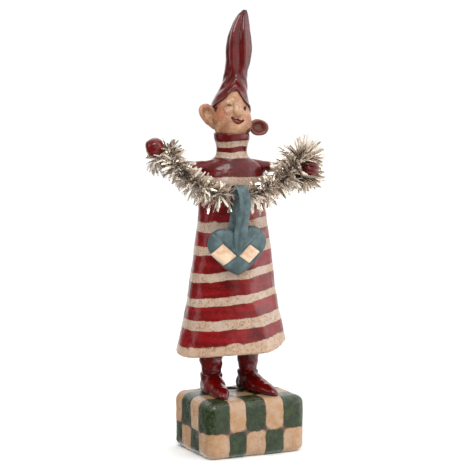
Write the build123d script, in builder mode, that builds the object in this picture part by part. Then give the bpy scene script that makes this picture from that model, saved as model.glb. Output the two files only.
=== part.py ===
from build123d import *
import math
import os

# Tomte figurine with a tinsel garland and a hanging heart, standing on a chequered block.
# Millimetres. The figure looks along -Y, its own left hand is on +X, +Z is up, and the
# origin is the centre of the block's underside.

os.makedirs("parts", exist_ok=True)

# Block: turned a little against the way the figure looks.
BLOCK_WIDTH = 53.4
BLOCK_DEPTH = 43.0
BLOCK_HEIGHT = 28.5
BLOCK_TURN = 8.0
BLOCK_CORNER_RADIUS = 5.0
BLOCK_TOP_RADIUS = 4.5
BLOCK_FOOT_RADIUS = 2.5
STAND_HOLE_CENTRE = (-0.5, 11.0)
STAND_HOLE_DIAMETER = 7.0
STAND_HOLE_DEPTH = 9.0

# Upright axis of the gown, in plan.
GOWN_X = -2.5
GOWN_Y = 3.7

# Feet and legs: where each ankle stands in plan, how far its toe turns outward, and how much
# longer its foot is than the plain one below.
LEGS = {"right": {"ankle": (-12.5, 6.2), "toe_turn": -4.0, "ankle_radius": 5.3, "stretch": 1.0},
        "left": {"ankle": (7.4, 8.3), "toe_turn": 16.0, "ankle_radius": 5.1, "stretch": 1.12}}
BOOT_TOP = 38.0
LEG_TOP = 57.0
LEG_PIN_DIAMETER = 2.5
LEG_PIN_BOTTOM = 16.0
LEG_PIN_TOP = 72.0
PIN_PLAY = 0.05

# A foot, as ellipses square to its length: distance from the ankle, half width, half height.
FOOT_SECTIONS = ((-6.8, 2.2, 2.3), (-4.5, 4.7, 4.8), (1.0, 5.7, 5.6), (8.0, 5.0, 4.4),
                 (14.5, 4.1, 3.3), (19.5, 2.6, 2.2), (22.5, 0.8, 0.9))
FOOT_SINK = 0.35

# The boot's shaft and the trouser leg above it: height, and radius beyond the ankle's.
SHAFT_SECTIONS = ((BLOCK_HEIGHT, -0.6), (BLOCK_HEIGHT + 4, 0.2), (BOOT_TOP, 0.0))
TROUSER_SECTIONS = ((BOOT_TOP, -0.3), (BOOT_TOP + 5, 0.8), (LEG_TOP - 7, 0.9), (LEG_TOP, 0.2))

# Gown body and roll neck, as level ellipses: height, half width, half depth.
GOWN_SECTIONS = ((46.0, 29.4, 21.8), (62.0, 25.8, 19.7), (75.0, 22.9, 18.0), (100.0, 19.4, 15.5),
                 (121.5, 17.0, 13.5), (134.0, 16.6, 12.2), (141.0, 15.6, 10.6), (145.5, 10.5, 8.2))
NECK_SECTIONS = ((142.0, 9.6, 8.4), (147.0, 8.1, 7.6), (150.5, 7.6, 7.3), (153.5, 8.0, 7.7),
                 (156.2, 8.9, 8.7), (158.6, 8.6, 8.4))
HEM_HEIGHT = 50.2
HEM_SLOPE = 3.2
# The hollow under the gown is the gown's own outline at these sections, less the wall.
RECESS_WALL = 3.0
RECESS_SECTIONS = (GOWN_SECTIONS[0], (LEG_TOP, 26.9, 20.4))

NECK_DOWEL_DIAMETER = 5.0
NECK_DOWEL_BOTTOM = 138.0
NECK_DOWEL_TOP = 167.0
NECK_DOWEL_CHAMFER = 0.5

# Head and hat, as level ellipses: height, centre x, centre y, half width, half depth.
HEAD_SECTIONS = ((157.0, -2.3, 3.3, 6.3, 6.0), (159.5, -2.4, 3.0, 8.8, 8.2), (163.0, -2.6, 2.8, 9.8, 9.2),
                 (168.0, -2.7, 3.0, 9.7, 9.5), (174.0, -2.6, 3.5, 8.7, 8.9), (180.0, -1.4, 4.3, 7.0, 7.2),
                 (184.0, -0.7, 4.8, 4.4, 4.6))
HAT_SECTIONS = ((157.5, -3.0, 5.4, 8.4, 8.2), (163.0, -3.0, 4.4, 10.6, 10.2), (168.0, -2.9, 4.0, 10.6, 10.5),
                (173.3, -2.7, 4.1, 9.8, 10.0), (177.0, -2.1, 4.5, 8.7, 9.1), (181.0, -1.2, 4.9, 7.5, 8.1),
                (185.0, -0.4, 5.1, 6.5, 7.2), (189.0, 0.3, 5.0, 5.9, 6.4), (194.0, 0.9, 4.6, 6.1, 6.3),
                (199.5, 1.1, 4.2, 6.5, 6.5), (205.5, 1.4, 4.0, 5.9, 6.0), (211.0, 2.0, 3.8, 4.4, 4.6),
                (216.3, 3.0, 3.7, 2.4, 2.5), (218.4, 3.9, 3.7, 0.7, 0.7))
BRIM_FRONT = (-3.6, 180.4)
BRIM_BACK = (13.6, 161.0)

# Ears: centre, long and short half axes, lean of the long axis from upright.
EARS = {"right": {"centre": (-15.3, 3.6, 167.6), "half_height": 6.9, "half_width": 4.0, "lean": 26.0},
        "left": {"centre": (11.4, 3.6, 161.3), "half_height": 4.0, "half_width": 4.9, "lean": 10.0}}
EAR_THICKNESS = 3.2
EAR_ROUND = 1.3

# An ovoid, as circles square to its length: reach along each half, share of the full radius.
OVOID_SECTIONS = ((-0.97, 0.24), (-0.72, 0.69), (0.0, 1.0), (0.72, 0.69), (0.97, 0.24))

NOSE_CENTRE = (-2.9, -6.4, 170.6)
NOSE_HALF_LENGTH = 4.4
NOSE_RADIUS = 2.3
NOSE_LEAN = 12.0

# Arms: the bent wire inside each sleeve runs from the chest to the middle of the fist.
ARMS = {"right": ((-9.0, 3.9, 142.8), (-26.0, 1.8, 143.2), (-35.0, 0.4, 143.6), (-42.9, 0.0, 151.9)),
        "left": ((4.0, 3.9, 142.6), (19.0, 2.8, 141.6), (30.0, 1.6, 140.0), (36.4, -4.0, 140.3))}
ARM_BEND_RADIUS = 8.0
ARM_WIRE_DIAMETER = 1.6
SLEEVE_DIAMETER = 5.8
HANDS = {"right": {"centre": (-43.6, 0.0, 153.0), "half_length": 4.9, "radius": 4.3, "lean": -20.0},
         "left": {"centre": (36.9, -4.5, 140.4), "half_length": 4.2, "radius": 3.9, "lean": 60.0}}

# Heart and its strap. The strap is a loop over the garland's core wire.
PIVOT_X = -5.0
PIVOT_Y = -15.0
PIVOT_Z = 129.5
STRAP_WIDTH = 5.8
STRAP_INNER_RADIUS = 3.2
STRAP_THICKNESS = 1.5
STRAP_STRAIGHT = 6.0
STRAP_NECK_DROP = 16.0
STRAP_DROP = 21.3
HEART_X = -6.1
HEART_Y = -15.3
HEART_Z = 106.2
HEART_ROLL = 3.0
HEART_THICKNESS = 4.4
LOBE_OFFSET = 7.4
LOBE_RADIUS = 7.9
HEART_TIP_DROP = 16.1
HEART_FLANK_BULGE = 0.8

# Garland core wire, from its end round the right wrist, in front of the chest, to its end
# round the left wrist. The straight run below the middle carries the heart's strap.
GARLAND_WIRE_DIAMETER = 1.2
GARLAND_ROUTE = [(-43.2, -2.8, 147.0), (-43.6, 1.3, 146.1), (-41.3, 4.5, 147.8), (-37.9, 4.0, 150.4),
                 (-36.0, 0.2, 151.5), (-36.1, -4.4, 149.2), (-35.1, -7.6, 144.4), (-29.2, -11.0, 138.2),
                 (-21.4, -13.6, 132.6), (-12.0, PIVOT_Y, PIVOT_Z), (2.0, PIVOT_Y, PIVOT_Z),
                 (11.0, -12.9, 132.4), (19.4, -9.8, 136.6), (25.2, -7.2, 140.6), (28.6, -4.8, 144.4),
                 (32.0, -1.6, 145.8), (35.2, 1.6, 144.3), (36.6, 2.7, 140.2), (35.4, 1.0, 136.0),
                 (32.6, -2.6, 134.8), (30.6, -5.7, 137.2)]
HANG_FIRST = 5
HANG_LAST = 15
TINSEL_DIAMETER = 10.0
TINSEL_GAP = 7.4
CUFF_DIAMETER = 16.4
CUFF_LENGTH = 6.5
CUFFS = {"right": {"wrist": (-39.6, 0.2, 148.3), "along": (-0.698, -0.033, 0.715)},
         "left": {"wrist": (33.4, -1.4, 140.2), "along": (0.752, -0.658, 0.035)}}


def corner_radii(route):
    """Largest even arcs that fit a route: 0.45 of the shorter run over tan(half the turn)."""
    radii = []
    for before, corner, after in zip(route, route[1:], route[2:]):
        run_in = Vector(corner) - Vector(before)
        run_out = Vector(after) - Vector(corner)
        half_turn = math.radians(run_in.get_angle(run_out) / 2)
        radii.append(0.45 * min(run_in.length, run_out.length) / math.tan(half_turn))
    return radii


def route_line(route, radii):
    """The route as straight runs joined by tangent arcs."""
    with BuildLine():
        line = FilletPolyline(*route, radius=radii)
    return line


def start_plane(line):
    """Plane square to a line at its start."""
    return Plane(origin=line @ 0, z_dir=line % 0)


def finish_part(part, name):
    """Label a finished piece and write its STEP file."""
    part.label = name
    export_step(part, f"parts/{name}.step")
    print(f"{name:18s} {part.volume:10.1f} mm3")


# ---- pins, arm wires and their bores ----

for side, leg in LEGS.items():
    with BuildPart() as leg_pin:
        with BuildSketch(Plane.XY.offset(LEG_PIN_BOTTOM)):
            with Locations(leg["ankle"]):
                Circle(LEG_PIN_DIAMETER / 2)
        extrude(amount=LEG_PIN_TOP - LEG_PIN_BOTTOM)
    finish_part(leg_pin.part, f"leg_pin_{side}")

with BuildPart() as leg_pin_bores:
    with BuildSketch(Plane.XY.offset(LEG_PIN_BOTTOM - PIN_PLAY)):
        with Locations(*[leg["ankle"] for leg in LEGS.values()]):
            Circle(LEG_PIN_DIAMETER / 2 + PIN_PLAY)
    extrude(amount=LEG_PIN_TOP - LEG_PIN_BOTTOM + 2 * PIN_PLAY)

with BuildPart() as neck_dowel:
    with BuildSketch(Plane.XY.offset(NECK_DOWEL_BOTTOM)):
        with Locations((GOWN_X, GOWN_Y)):
            Circle(NECK_DOWEL_DIAMETER / 2)
    extrude(amount=NECK_DOWEL_TOP - NECK_DOWEL_BOTTOM)
    chamfer(neck_dowel.edges(), NECK_DOWEL_CHAMFER)
finish_part(neck_dowel.part, "neck_dowel")

with BuildPart() as neck_bore:
    with BuildSketch(Plane.XY.offset(NECK_DOWEL_BOTTOM - PIN_PLAY)):
        with Locations((GOWN_X, GOWN_Y)):
            Circle(NECK_DOWEL_DIAMETER / 2 + PIN_PLAY)
    extrude(amount=NECK_DOWEL_TOP - NECK_DOWEL_BOTTOM + 2 * PIN_PLAY)

arm_lines = {}
arm_bores = {}
for side, points in ARMS.items():
    arm_lines[side] = route_line(points, ARM_BEND_RADIUS)
    with BuildPart() as arm_wire:
        with BuildSketch(start_plane(arm_lines[side])):
            Circle(ARM_WIRE_DIAMETER / 2)
        sweep(path=arm_lines[side])
    finish_part(arm_wire.part, f"arm_wire_{side}")
    with BuildPart() as arm_bore:
        with BuildSketch(start_plane(arm_lines[side])):
            Circle(ARM_WIRE_DIAMETER / 2 + PIN_PLAY)
        sweep(path=arm_lines[side])
    arm_bores[side] = arm_bore.part

# ---- block ----

with BuildPart() as base_block:
    Box(BLOCK_WIDTH, BLOCK_DEPTH, BLOCK_HEIGHT, rotation=(0, 0, BLOCK_TURN),
        align=(Align.CENTER, Align.CENTER, Align.MIN))
    fillet(base_block.edges().filter_by(Axis.Z), BLOCK_CORNER_RADIUS)
    fillet(base_block.faces().sort_by(Axis.Z)[-1].edges(), BLOCK_TOP_RADIUS)
    fillet(base_block.faces().sort_by(Axis.Z)[0].edges(), BLOCK_FOOT_RADIUS)
    with BuildSketch(Plane.XY.offset(BLOCK_HEIGHT)):
        with Locations(STAND_HOLE_CENTRE):
            Circle(STAND_HOLE_DIAMETER / 2)
    extrude(amount=-STAND_HOLE_DEPTH, mode=Mode.SUBTRACT)
    add(leg_pin_bores.part, mode=Mode.SUBTRACT)
finish_part(base_block.part, "base_block")

# ---- boots and legs ----

for side, leg in LEGS.items():
    ankle_x, ankle_y = leg["ankle"]
    turn = math.radians(leg["toe_turn"])
    toe_way = Vector(math.sin(turn), -math.cos(turn), 0)
    across = Vector(math.cos(turn), math.sin(turn), 0)
    with BuildPart() as boot:
        for reach, half_width, half_height in FOOT_SECTIONS:
            centre_height = BLOCK_HEIGHT + half_height * (1 - FOOT_SINK)
            middle = Vector(ankle_x, ankle_y, centre_height) + toe_way * reach * leg["stretch"]
            with BuildSketch(Plane(origin=middle, x_dir=across, z_dir=toe_way)):
                Ellipse(half_width, half_height)
        loft()
        split(bisect_by=Plane.XY.offset(BLOCK_HEIGHT), keep=Keep.TOP)
        for height, swell in SHAFT_SECTIONS:
            with BuildSketch(Plane.XY.offset(height)):
                with Locations((ankle_x, ankle_y)):
                    Circle(leg["ankle_radius"] + swell)
        loft()
        add(leg_pin_bores.part, mode=Mode.SUBTRACT)
    finish_part(boot.part, f"boot_{side}")
    with BuildPart() as trouser_leg:
        for height, swell in TROUSER_SECTIONS:
            with BuildSketch(Plane.XY.offset(height)):
                with Locations((ankle_x, ankle_y)):
                    Circle(leg["ankle_radius"] + swell)
        loft()
        add(leg_pin_bores.part, mode=Mode.SUBTRACT)
    finish_part(trouser_leg.part, f"leg_{side}")

# ---- head, nose, ears and hat ----

with BuildPart() as head_egg:
    for height, x, y, half_width, half_depth in HEAD_SECTIONS:
        with BuildSketch(Plane.XY.offset(height)):
            with Locations((x, y)):
                Ellipse(half_width, half_depth)
    loft()

with BuildPart() as head:
    add(head_egg.part)
    add(neck_bore.part, mode=Mode.SUBTRACT)
finish_part(head.part, "head")

brim_along = Vector(0, BRIM_BACK[0] - BRIM_FRONT[0], BRIM_BACK[1] - BRIM_FRONT[1])
brim_plane = Plane(origin=(0, BRIM_FRONT[0], BRIM_FRONT[1]), x_dir=(1, 0, 0),
                   z_dir=Vector(1, 0, 0).cross(brim_along))
with BuildPart() as hat:
    for height, x, y, half_width, half_depth in HAT_SECTIONS:
        with BuildSketch(Plane.XY.offset(height)):
            with Locations((x, y)):
                Ellipse(half_width, half_depth)
    loft()
    split(bisect_by=brim_plane, keep=Keep.TOP)
    add(head_egg.part, mode=Mode.SUBTRACT)
finish_part(hat.part, "hat")

nose_lean = math.radians(NOSE_LEAN)
nose_axis = Vector(0, -math.sin(nose_lean), -math.cos(nose_lean))
with BuildPart() as nose:
    for reach, swell in OVOID_SECTIONS:
        with BuildSketch(Plane(origin=Vector(NOSE_CENTRE) + nose_axis * NOSE_HALF_LENGTH * reach,
                               x_dir=(1, 0, 0), z_dir=nose_axis)):
            Circle(NOSE_RADIUS * swell)
    loft()
    add(head_egg.part, mode=Mode.SUBTRACT)
finish_part(nose.part, "nose")

for side, shape in EARS.items():
    outward = -1 if side == "right" else 1
    lean = math.radians(shape["lean"]) * outward
    ear_plane = Plane(origin=shape["centre"], x_dir=(math.cos(lean), 0, -math.sin(lean)), z_dir=(0, -1, 0))
    with BuildPart() as ear:
        with BuildSketch(ear_plane):
            Ellipse(shape["half_width"], shape["half_height"])
        extrude(amount=EAR_THICKNESS / 2, both=True)
        fillet(ear.edges(), EAR_ROUND)
        add(head_egg.part, mode=Mode.SUBTRACT)
        add(hat.part, mode=Mode.SUBTRACT)
    finish_part(ear.part, f"ear_{side}")

# ---- gown ----

hem_plane = Plane(origin=(GOWN_X, GOWN_Y, HEM_HEIGHT), x_dir=(0, 1, 0),
                  z_dir=(-math.sin(math.radians(HEM_SLOPE)), 0, math.cos(math.radians(HEM_SLOPE))))
with BuildPart() as gown:
    for height, half_width, half_depth in GOWN_SECTIONS:
        with BuildSketch(Plane.XY.offset(height)):
            with Locations((GOWN_X, GOWN_Y)):
                Ellipse(half_width, half_depth)
    loft()
    split(bisect_by=hem_plane, keep=Keep.TOP)
    for height, half_width, half_depth in NECK_SECTIONS:
        with BuildSketch(Plane.XY.offset(height)):
            with Locations((GOWN_X, GOWN_Y)):
                Ellipse(half_width, half_depth)
    loft()
    for height, half_width, half_depth in RECESS_SECTIONS:
        with BuildSketch(Plane.XY.offset(height)):
            with Locations((GOWN_X, GOWN_Y)):
                Ellipse(half_width - RECESS_WALL, half_depth - RECESS_WALL)
    loft(mode=Mode.SUBTRACT)
    add(leg_pin_bores.part, mode=Mode.SUBTRACT)
    add(neck_bore.part, mode=Mode.SUBTRACT)
    add(head_egg.part, mode=Mode.SUBTRACT)
    add(arm_bores["right"], mode=Mode.SUBTRACT)
    add(arm_bores["left"], mode=Mode.SUBTRACT)
finish_part(gown.part, "gown")

# ---- hands and sleeves ----

hands = {}
sleeves = {}
for side, shape in HANDS.items():
    lean = math.radians(shape["lean"])
    hand_axis = Vector(math.sin(lean), 0, math.cos(lean))
    with BuildPart() as hand:
        for reach, swell in OVOID_SECTIONS:
            with BuildSketch(Plane(origin=Vector(shape["centre"]) + hand_axis * shape["half_length"] * reach,
                                   x_dir=(0, 1, 0), z_dir=hand_axis)):
                Circle(shape["radius"] * swell)
        loft()
        add(arm_bores[side], mode=Mode.SUBTRACT)
    finish_part(hand.part, f"hand_{side}")
    hands[side] = hand.part
    with BuildPart() as sleeve:
        with BuildSketch(start_plane(arm_lines[side])):
            Circle(SLEEVE_DIAMETER / 2)
        sweep(path=arm_lines[side])
        add(gown.part, mode=Mode.SUBTRACT)
        add(hand.part, mode=Mode.SUBTRACT)
        add(arm_bores[side], mode=Mode.SUBTRACT)
    # What is left of the tube inside the chest or the fist is no part of the sleeve.
    sleeves[side] = sleeve.part.solids().sort_by(SortBy.VOLUME)[-1]
    finish_part(sleeves[side], f"sleeve_{side}")

# ---- garland: core wire and its tinsel ----

garland_radii = corner_radii(GARLAND_ROUTE)
garland_line = route_line(GARLAND_ROUTE, garland_radii)
print("garland corner radii", [round(radius, 1) for radius in garland_radii])
print("garland length", round(garland_line.length, 1))
with BuildPart() as garland_wire:
    with BuildSketch(start_plane(garland_line)):
        Circle(GARLAND_WIRE_DIAMETER / 2)
    sweep(path=garland_line)
finish_part(garland_wire.part, "garland_wire")
print("wire section x length", round(math.pi * GARLAND_WIRE_DIAMETER ** 2 / 4 * garland_line.length, 1))

# The tinsel is a plain fat tube along the hanging stretch and a cuff round each wrist, with a
# gap where the strap of the heart grips the wire.
hanging = GARLAND_ROUTE[HANG_FIRST:HANG_LAST]
hanging_line = route_line(hanging, corner_radii(hanging))
with BuildPart() as tinsel_tube:
    with BuildSketch(start_plane(hanging_line)):
        Circle(TINSEL_DIAMETER / 2)
    sweep(path=hanging_line)
for side, cuff in CUFFS.items():
    outward = -1 if side == "right" else 1
    with BuildPart() as tinsel:
        add(tinsel_tube.part)
        split(bisect_by=Plane(origin=(PIVOT_X + outward * TINSEL_GAP / 2, 0, 0), z_dir=(outward, 0, 0)),
              keep=Keep.TOP)
        with BuildSketch(Plane(origin=cuff["wrist"], z_dir=cuff["along"])):
            Circle(CUFF_DIAMETER / 2)
        extrude(amount=CUFF_LENGTH / 2, both=True)
        add(sleeves[side], mode=Mode.SUBTRACT)
        add(hands[side], mode=Mode.SUBTRACT)
        add(arm_bores[side], mode=Mode.SUBTRACT)
        add(garland_wire.part, mode=Mode.SUBTRACT)
    # Crumbs that the cuts leave between wire, sleeve and fist are dropped.
    finish_part(tinsel.part.solids().sort_by(SortBy.VOLUME)[-1], f"tinsel_{side}")

# ---- heart and strap ----

strap_plane = Plane(origin=(PIVOT_X, PIVOT_Y, PIVOT_Z), x_dir=(0, 1, 0), z_dir=(1, 0, 0))
outer_half = STRAP_INNER_RADIUS + STRAP_THICKNESS
with BuildPart() as heart_strap:
    with BuildSketch(strap_plane):
        Circle(outer_half)
        Polygon((-outer_half, 0), (-outer_half, -STRAP_STRAIGHT), (-STRAP_THICKNESS, -STRAP_NECK_DROP),
                (-STRAP_THICKNESS, -STRAP_DROP), (STRAP_THICKNESS, -STRAP_DROP),
                (STRAP_THICKNESS, -STRAP_NECK_DROP), (outer_half, -STRAP_STRAIGHT), (outer_half, 0),
                align=None)
        Circle(STRAP_INNER_RADIUS, mode=Mode.SUBTRACT)
        Polygon((-STRAP_INNER_RADIUS, 0), (-STRAP_INNER_RADIUS, -STRAP_STRAIGHT), (0, -STRAP_NECK_DROP),
                (STRAP_INNER_RADIUS, -STRAP_STRAIGHT), (STRAP_INNER_RADIUS, 0), align=None,
                mode=Mode.SUBTRACT)
    extrude(amount=STRAP_WIDTH / 2, both=True)
finish_part(heart_strap.part, "heart_strap")

roll = math.radians(HEART_ROLL)
heart_plane = Plane(origin=(HEART_X, HEART_Y, HEART_Z), x_dir=(math.cos(roll), 0, math.sin(roll)),
                    z_dir=(0, -1, 0))
tip_reach = math.hypot(LOBE_OFFSET, HEART_TIP_DROP)
touch_angle = math.atan2(-HEART_TIP_DROP, -LOBE_OFFSET) + math.acos(LOBE_RADIUS / tip_reach)
touch_x = LOBE_OFFSET + LOBE_RADIUS * math.cos(touch_angle)
touch_z = LOBE_RADIUS * math.sin(touch_angle)
cleft_z = math.sqrt(LOBE_RADIUS ** 2 - LOBE_OFFSET ** 2)
flank_way = Vector(touch_x, touch_z + HEART_TIP_DROP).normalized()
flank_x = touch_x / 2 + HEART_FLANK_BULGE * flank_way.Y
flank_z = (touch_z - HEART_TIP_DROP) / 2 - HEART_FLANK_BULGE * flank_way.X
with BuildPart() as heart_body:
    with BuildSketch(heart_plane):
        with BuildLine():
            flank = ThreePointArc((0, -HEART_TIP_DROP), (flank_x, flank_z), (touch_x, touch_z))
            ThreePointArc(flank @ 1, (LOBE_OFFSET, LOBE_RADIUS), (0, cleft_z))
            mirror(about=Plane.YZ)
        make_face()
    extrude(amount=HEART_THICKNESS / 2, both=True)
    add(heart_strap.part, mode=Mode.SUBTRACT)
finish_part(heart_body.part, "heart_body")
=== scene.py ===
import math

import bmesh
import bpy
import numpy as np
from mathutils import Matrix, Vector


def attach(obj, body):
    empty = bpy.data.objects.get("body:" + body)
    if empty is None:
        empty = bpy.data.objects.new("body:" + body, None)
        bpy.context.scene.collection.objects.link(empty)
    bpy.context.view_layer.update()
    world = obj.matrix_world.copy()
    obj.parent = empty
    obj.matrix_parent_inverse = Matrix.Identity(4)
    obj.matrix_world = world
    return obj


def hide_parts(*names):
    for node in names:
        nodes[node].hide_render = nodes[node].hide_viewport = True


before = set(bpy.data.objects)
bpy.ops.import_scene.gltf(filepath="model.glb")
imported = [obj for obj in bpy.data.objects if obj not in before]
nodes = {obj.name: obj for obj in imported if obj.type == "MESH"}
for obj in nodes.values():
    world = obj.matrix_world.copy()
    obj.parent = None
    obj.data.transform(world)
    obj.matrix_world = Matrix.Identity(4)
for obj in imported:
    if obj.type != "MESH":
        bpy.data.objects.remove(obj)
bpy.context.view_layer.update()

# A tomte figurine: red and cream gown, red hat, boots and fists, a tinsel garland from wrist to
# wrist, and a woven heart that hangs on the garland. Shapes are worked out in millimetres in
# the row frame, where the figure looks along -Y, and written to Blender in metres.

MM = 0.001

GOWN_X, GOWN_Y = -2.5, 3.7
BLOCK_TOP = 28.5
BLOCK_TURN = math.radians(8.0)
PIVOT = (-5.0, -15.0, 129.5)
FORWARD = np.array((0, -1.0, 0))
UP = np.array((0, 0, 1.0))


# ---- tools for curves and noise ----

def smooth(at, xs, ys):
    """Monotone cubic curve through the points (xs, ys), held level beyond its ends."""
    xs, ys = np.asarray(xs, float), np.asarray(ys, float)
    step = np.diff(xs)
    slope = np.diff(ys) / step
    tangent = np.concatenate([slope[:1], np.zeros(len(xs) - 2), slope[-1:]])
    for i in range(1, len(xs) - 1):
        if slope[i - 1] * slope[i] > 0:
            tangent[i] = 2 * slope[i - 1] * slope[i] / (slope[i - 1] + slope[i])
    at = np.clip(np.asarray(at, float), xs[0], xs[-1])
    i = np.clip(np.searchsorted(xs, at) - 1, 0, len(xs) - 2)
    t = (at - xs[i]) / step[i]
    rise = t * t * (3 - 2 * t)
    return (ys[i] * (1 - rise) + ys[i + 1] * rise
            + step[i] * (tangent[i] * t * (1 - t) ** 2 - tangent[i + 1] * t * t * (1 - t)))


def profile(at, table):
    """Each later column of a table as a smooth function of its first column."""
    places, *columns = zip(*table)
    return [smooth(at, places, column) for column in columns]


def ease(at, low, high):
    """0 at low, 1 at high, level beyond both."""
    t = np.clip((np.asarray(at, float) - low) / (high - low), 0, 1)
    return t * t * (3 - 2 * t)


def hump(at, middle, width):
    """A smooth bump of height 1."""
    return np.exp(-((np.asarray(at, float) - middle) / width) ** 2)


def ripples(angle, lumps):
    """Smooth bumps round an angle. Each is (height, middle, width), the last two in degrees."""
    degrees = np.degrees(angle)
    return sum(height * hump((degrees - middle + 180) % 360 - 180, 0.0, width)
               for height, middle, width in lumps)


LATTICE_SIZE = 64
LATTICE = np.random.default_rng(7).random((LATTICE_SIZE,) * 3) * 2 - 1


def bumps(points, size, seed=0.0):
    """Smooth noise from -1 to 1 at each point, with lumps about size across."""
    at = np.asarray(points, float) / size + seed * 7.31 + 500.0
    low = np.floor(at).astype(int)
    t = at - low
    t = t * t * (3 - 2 * t)
    total = np.zeros(len(at))
    for corner in np.ndindex(2, 2, 2):
        share = np.prod(np.abs(1 - np.array(corner) - t), axis=1)
        total += share * LATTICE[tuple(((low + corner) % LATTICE_SIZE).T)]
    return total


def near(points, centre, radius):
    """1 at the centre, falling to nothing over the radius."""
    return np.exp(-(np.linalg.norm(points - np.array(centre), axis=1) / radius) ** 2)


def spots(points, *places):
    """Soft spots added up. Each is (strength, centre, radius)."""
    return sum(strength * near(points, centre, radius) for strength, centre, radius in places)


def unit(vector):
    return vector / np.linalg.norm(vector)


def distances(line):
    """How far along a line each of its points is."""
    return np.concatenate([[0], np.cumsum(np.linalg.norm(np.diff(line, axis=0), axis=1))])


def follow(route, rows):
    """Rows evenly spaced along a smooth curve through a route, and how far along each is.

    What a route's point holds after its x, y and z, such as a radius, is carried along.
    """
    route = np.array(route)
    far = distances(route[:, :3])
    at = np.linspace(0, far[-1], rows)
    return np.stack([smooth(at, far, column) for column in route.T], axis=1), at


# ---- tools for rings and skins ----

def full_turn(count):
    """Evenly spaced angles round a circle."""
    return np.linspace(0, 2 * math.pi, count, endpoint=False)


def leaning(degrees):
    """Directions across and up for a piece that leans over to the figure's left."""
    lean = math.radians(degrees)
    return np.array((math.cos(lean), 0, -math.sin(lean))), np.array((math.sin(lean), 0, math.cos(lean)))


def square_frame(direction):
    """Two directions square to a line, as the rows of a tube's rings need."""
    along = Vector(direction).normalized()
    side = along.cross(Vector((0, 0, 1)) if abs(along.z) < 0.9 else Vector((0, 1, 0))).normalized()
    return np.array(side), np.array(side.cross(along))


def level_ring(angle, x, y, z, half_width, half_depth):
    """A ring that is oval from above. Its height may change round it."""
    return np.stack([x + half_width * np.cos(angle), y + half_depth * np.sin(angle),
                     np.broadcast_to(z, angle.shape)], axis=1)


def tilted_ring(middle, first, second, first_reach, second_reach):
    """A ring in the plane of two directions, from its reach along each."""
    return np.asarray(middle) + first * first_reach[:, None] + second * second_reach[:, None]


def round_rings(sections, x, y, around=72):
    """Level round rings at the heights and radii of the sections."""
    return [level_ring(full_turn(around), x, y, z, radius, radius) for z, radius in sections]


def tube(route, rows, around):
    """Rings of a round tube along a route of x, y, z and radius."""
    values, _ = follow(route, rows)
    angle = full_turn(around)
    rings = []
    for middle, radius, direction in zip(values[:, :3], values[:, 3], np.gradient(values[:, :3], axis=0)):
        side, up = square_frame(direction)
        rings.append(tilted_ring(middle, side, up, radius * np.cos(angle), radius * np.sin(angle)))
    return rings


def skin(rings):
    """Points and faces of a closed skin through rings of points, with a pole at each end."""
    rings = np.asarray(rings, float)
    rows, around = rings.shape[:2]
    points = np.concatenate([rings.reshape(-1, 3), rings[:1].mean(axis=1), rings[-1:].mean(axis=1)])
    here = np.arange(rows * around).reshape(rows, around)
    after = np.roll(here, -1, axis=1)
    faces = np.stack([here[:-1], after[:-1], after[1:], here[1:]], axis=-1).reshape(-1, 4).tolist()
    ends = np.stack([here[0], after[0], here[-1], after[-1]], axis=1).tolist()
    for first, next_first, last, next_last in ends:
        faces.append((next_first, first, rows * around))
        faces.append((last, next_last, rows * around + 1))
    return points, faces


# ---- tools for objects ----

def add_object(name, data):
    obj = bpy.data.objects.new(name, data)
    bpy.context.scene.collection.objects.link(obj)
    return obj


def place(name, points, faces, material):
    """A smooth-shaded object from points in millimetres, its normals facing out."""
    mesh = bpy.data.meshes.new(name)
    mesh.from_pydata((np.asarray(points) * MM).tolist(), [], faces)
    work = bmesh.new()
    work.from_mesh(mesh)
    bmesh.ops.recalc_face_normals(work, faces=work.faces)
    work.to_mesh(mesh)
    work.free()
    mesh.shade_smooth()
    mesh.materials.append(material)
    return add_object(name, mesh)


def read_points(obj):
    """The object's vertices in millimetres."""
    values = np.zeros(len(obj.data.vertices) * 3)
    obj.data.vertices.foreach_get("co", values)
    return values.reshape(-1, 3) / MM


def write_points(obj, points):
    obj.data.vertices.foreach_set("co", (points * MM).ravel())
    obj.data.update()


def roughen(obj, *lumps):
    """Moves the vertices along their normals by noise. Each lump is (size, height)."""
    normals = np.zeros(len(obj.data.vertices) * 3)
    obj.data.vertex_normals.foreach_get("vector", normals)
    points = read_points(obj)
    shift = sum(height * bumps(points, size, seed) for seed, (size, height) in enumerate(lumps))
    write_points(obj, points + normals.reshape(-1, 3) * shift[:, None])


def mark(obj, **masks):
    """Stores numbers on the vertices for the materials. A single number goes to every vertex."""
    for name, values in masks.items():
        layer = obj.data.attributes.new(name, "FLOAT", "POINT")
        values = np.broadcast_to(values, len(obj.data.vertices))
        layer.data.foreach_set("value", np.ascontiguousarray(values, np.float32))


def finished_mesh(obj):
    """A new mesh of the object, as its modifiers or its curve shape it."""
    bpy.context.view_layer.update()
    return bpy.data.meshes.new_from_object(obj.evaluated_get(bpy.context.evaluated_depsgraph_get()))


def apply_modifiers(obj):
    made = finished_mesh(obj)
    obj.modifiers.clear()
    old = obj.data
    made.name = old.name
    obj.data = made
    bpy.data.meshes.remove(old)
    obj.data.shade_smooth()


def finish_piece(obj, body, slot, *replaced):
    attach(obj, body)
    if replaced:
        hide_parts(*replaced)


# ---- tools for materials ----

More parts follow.
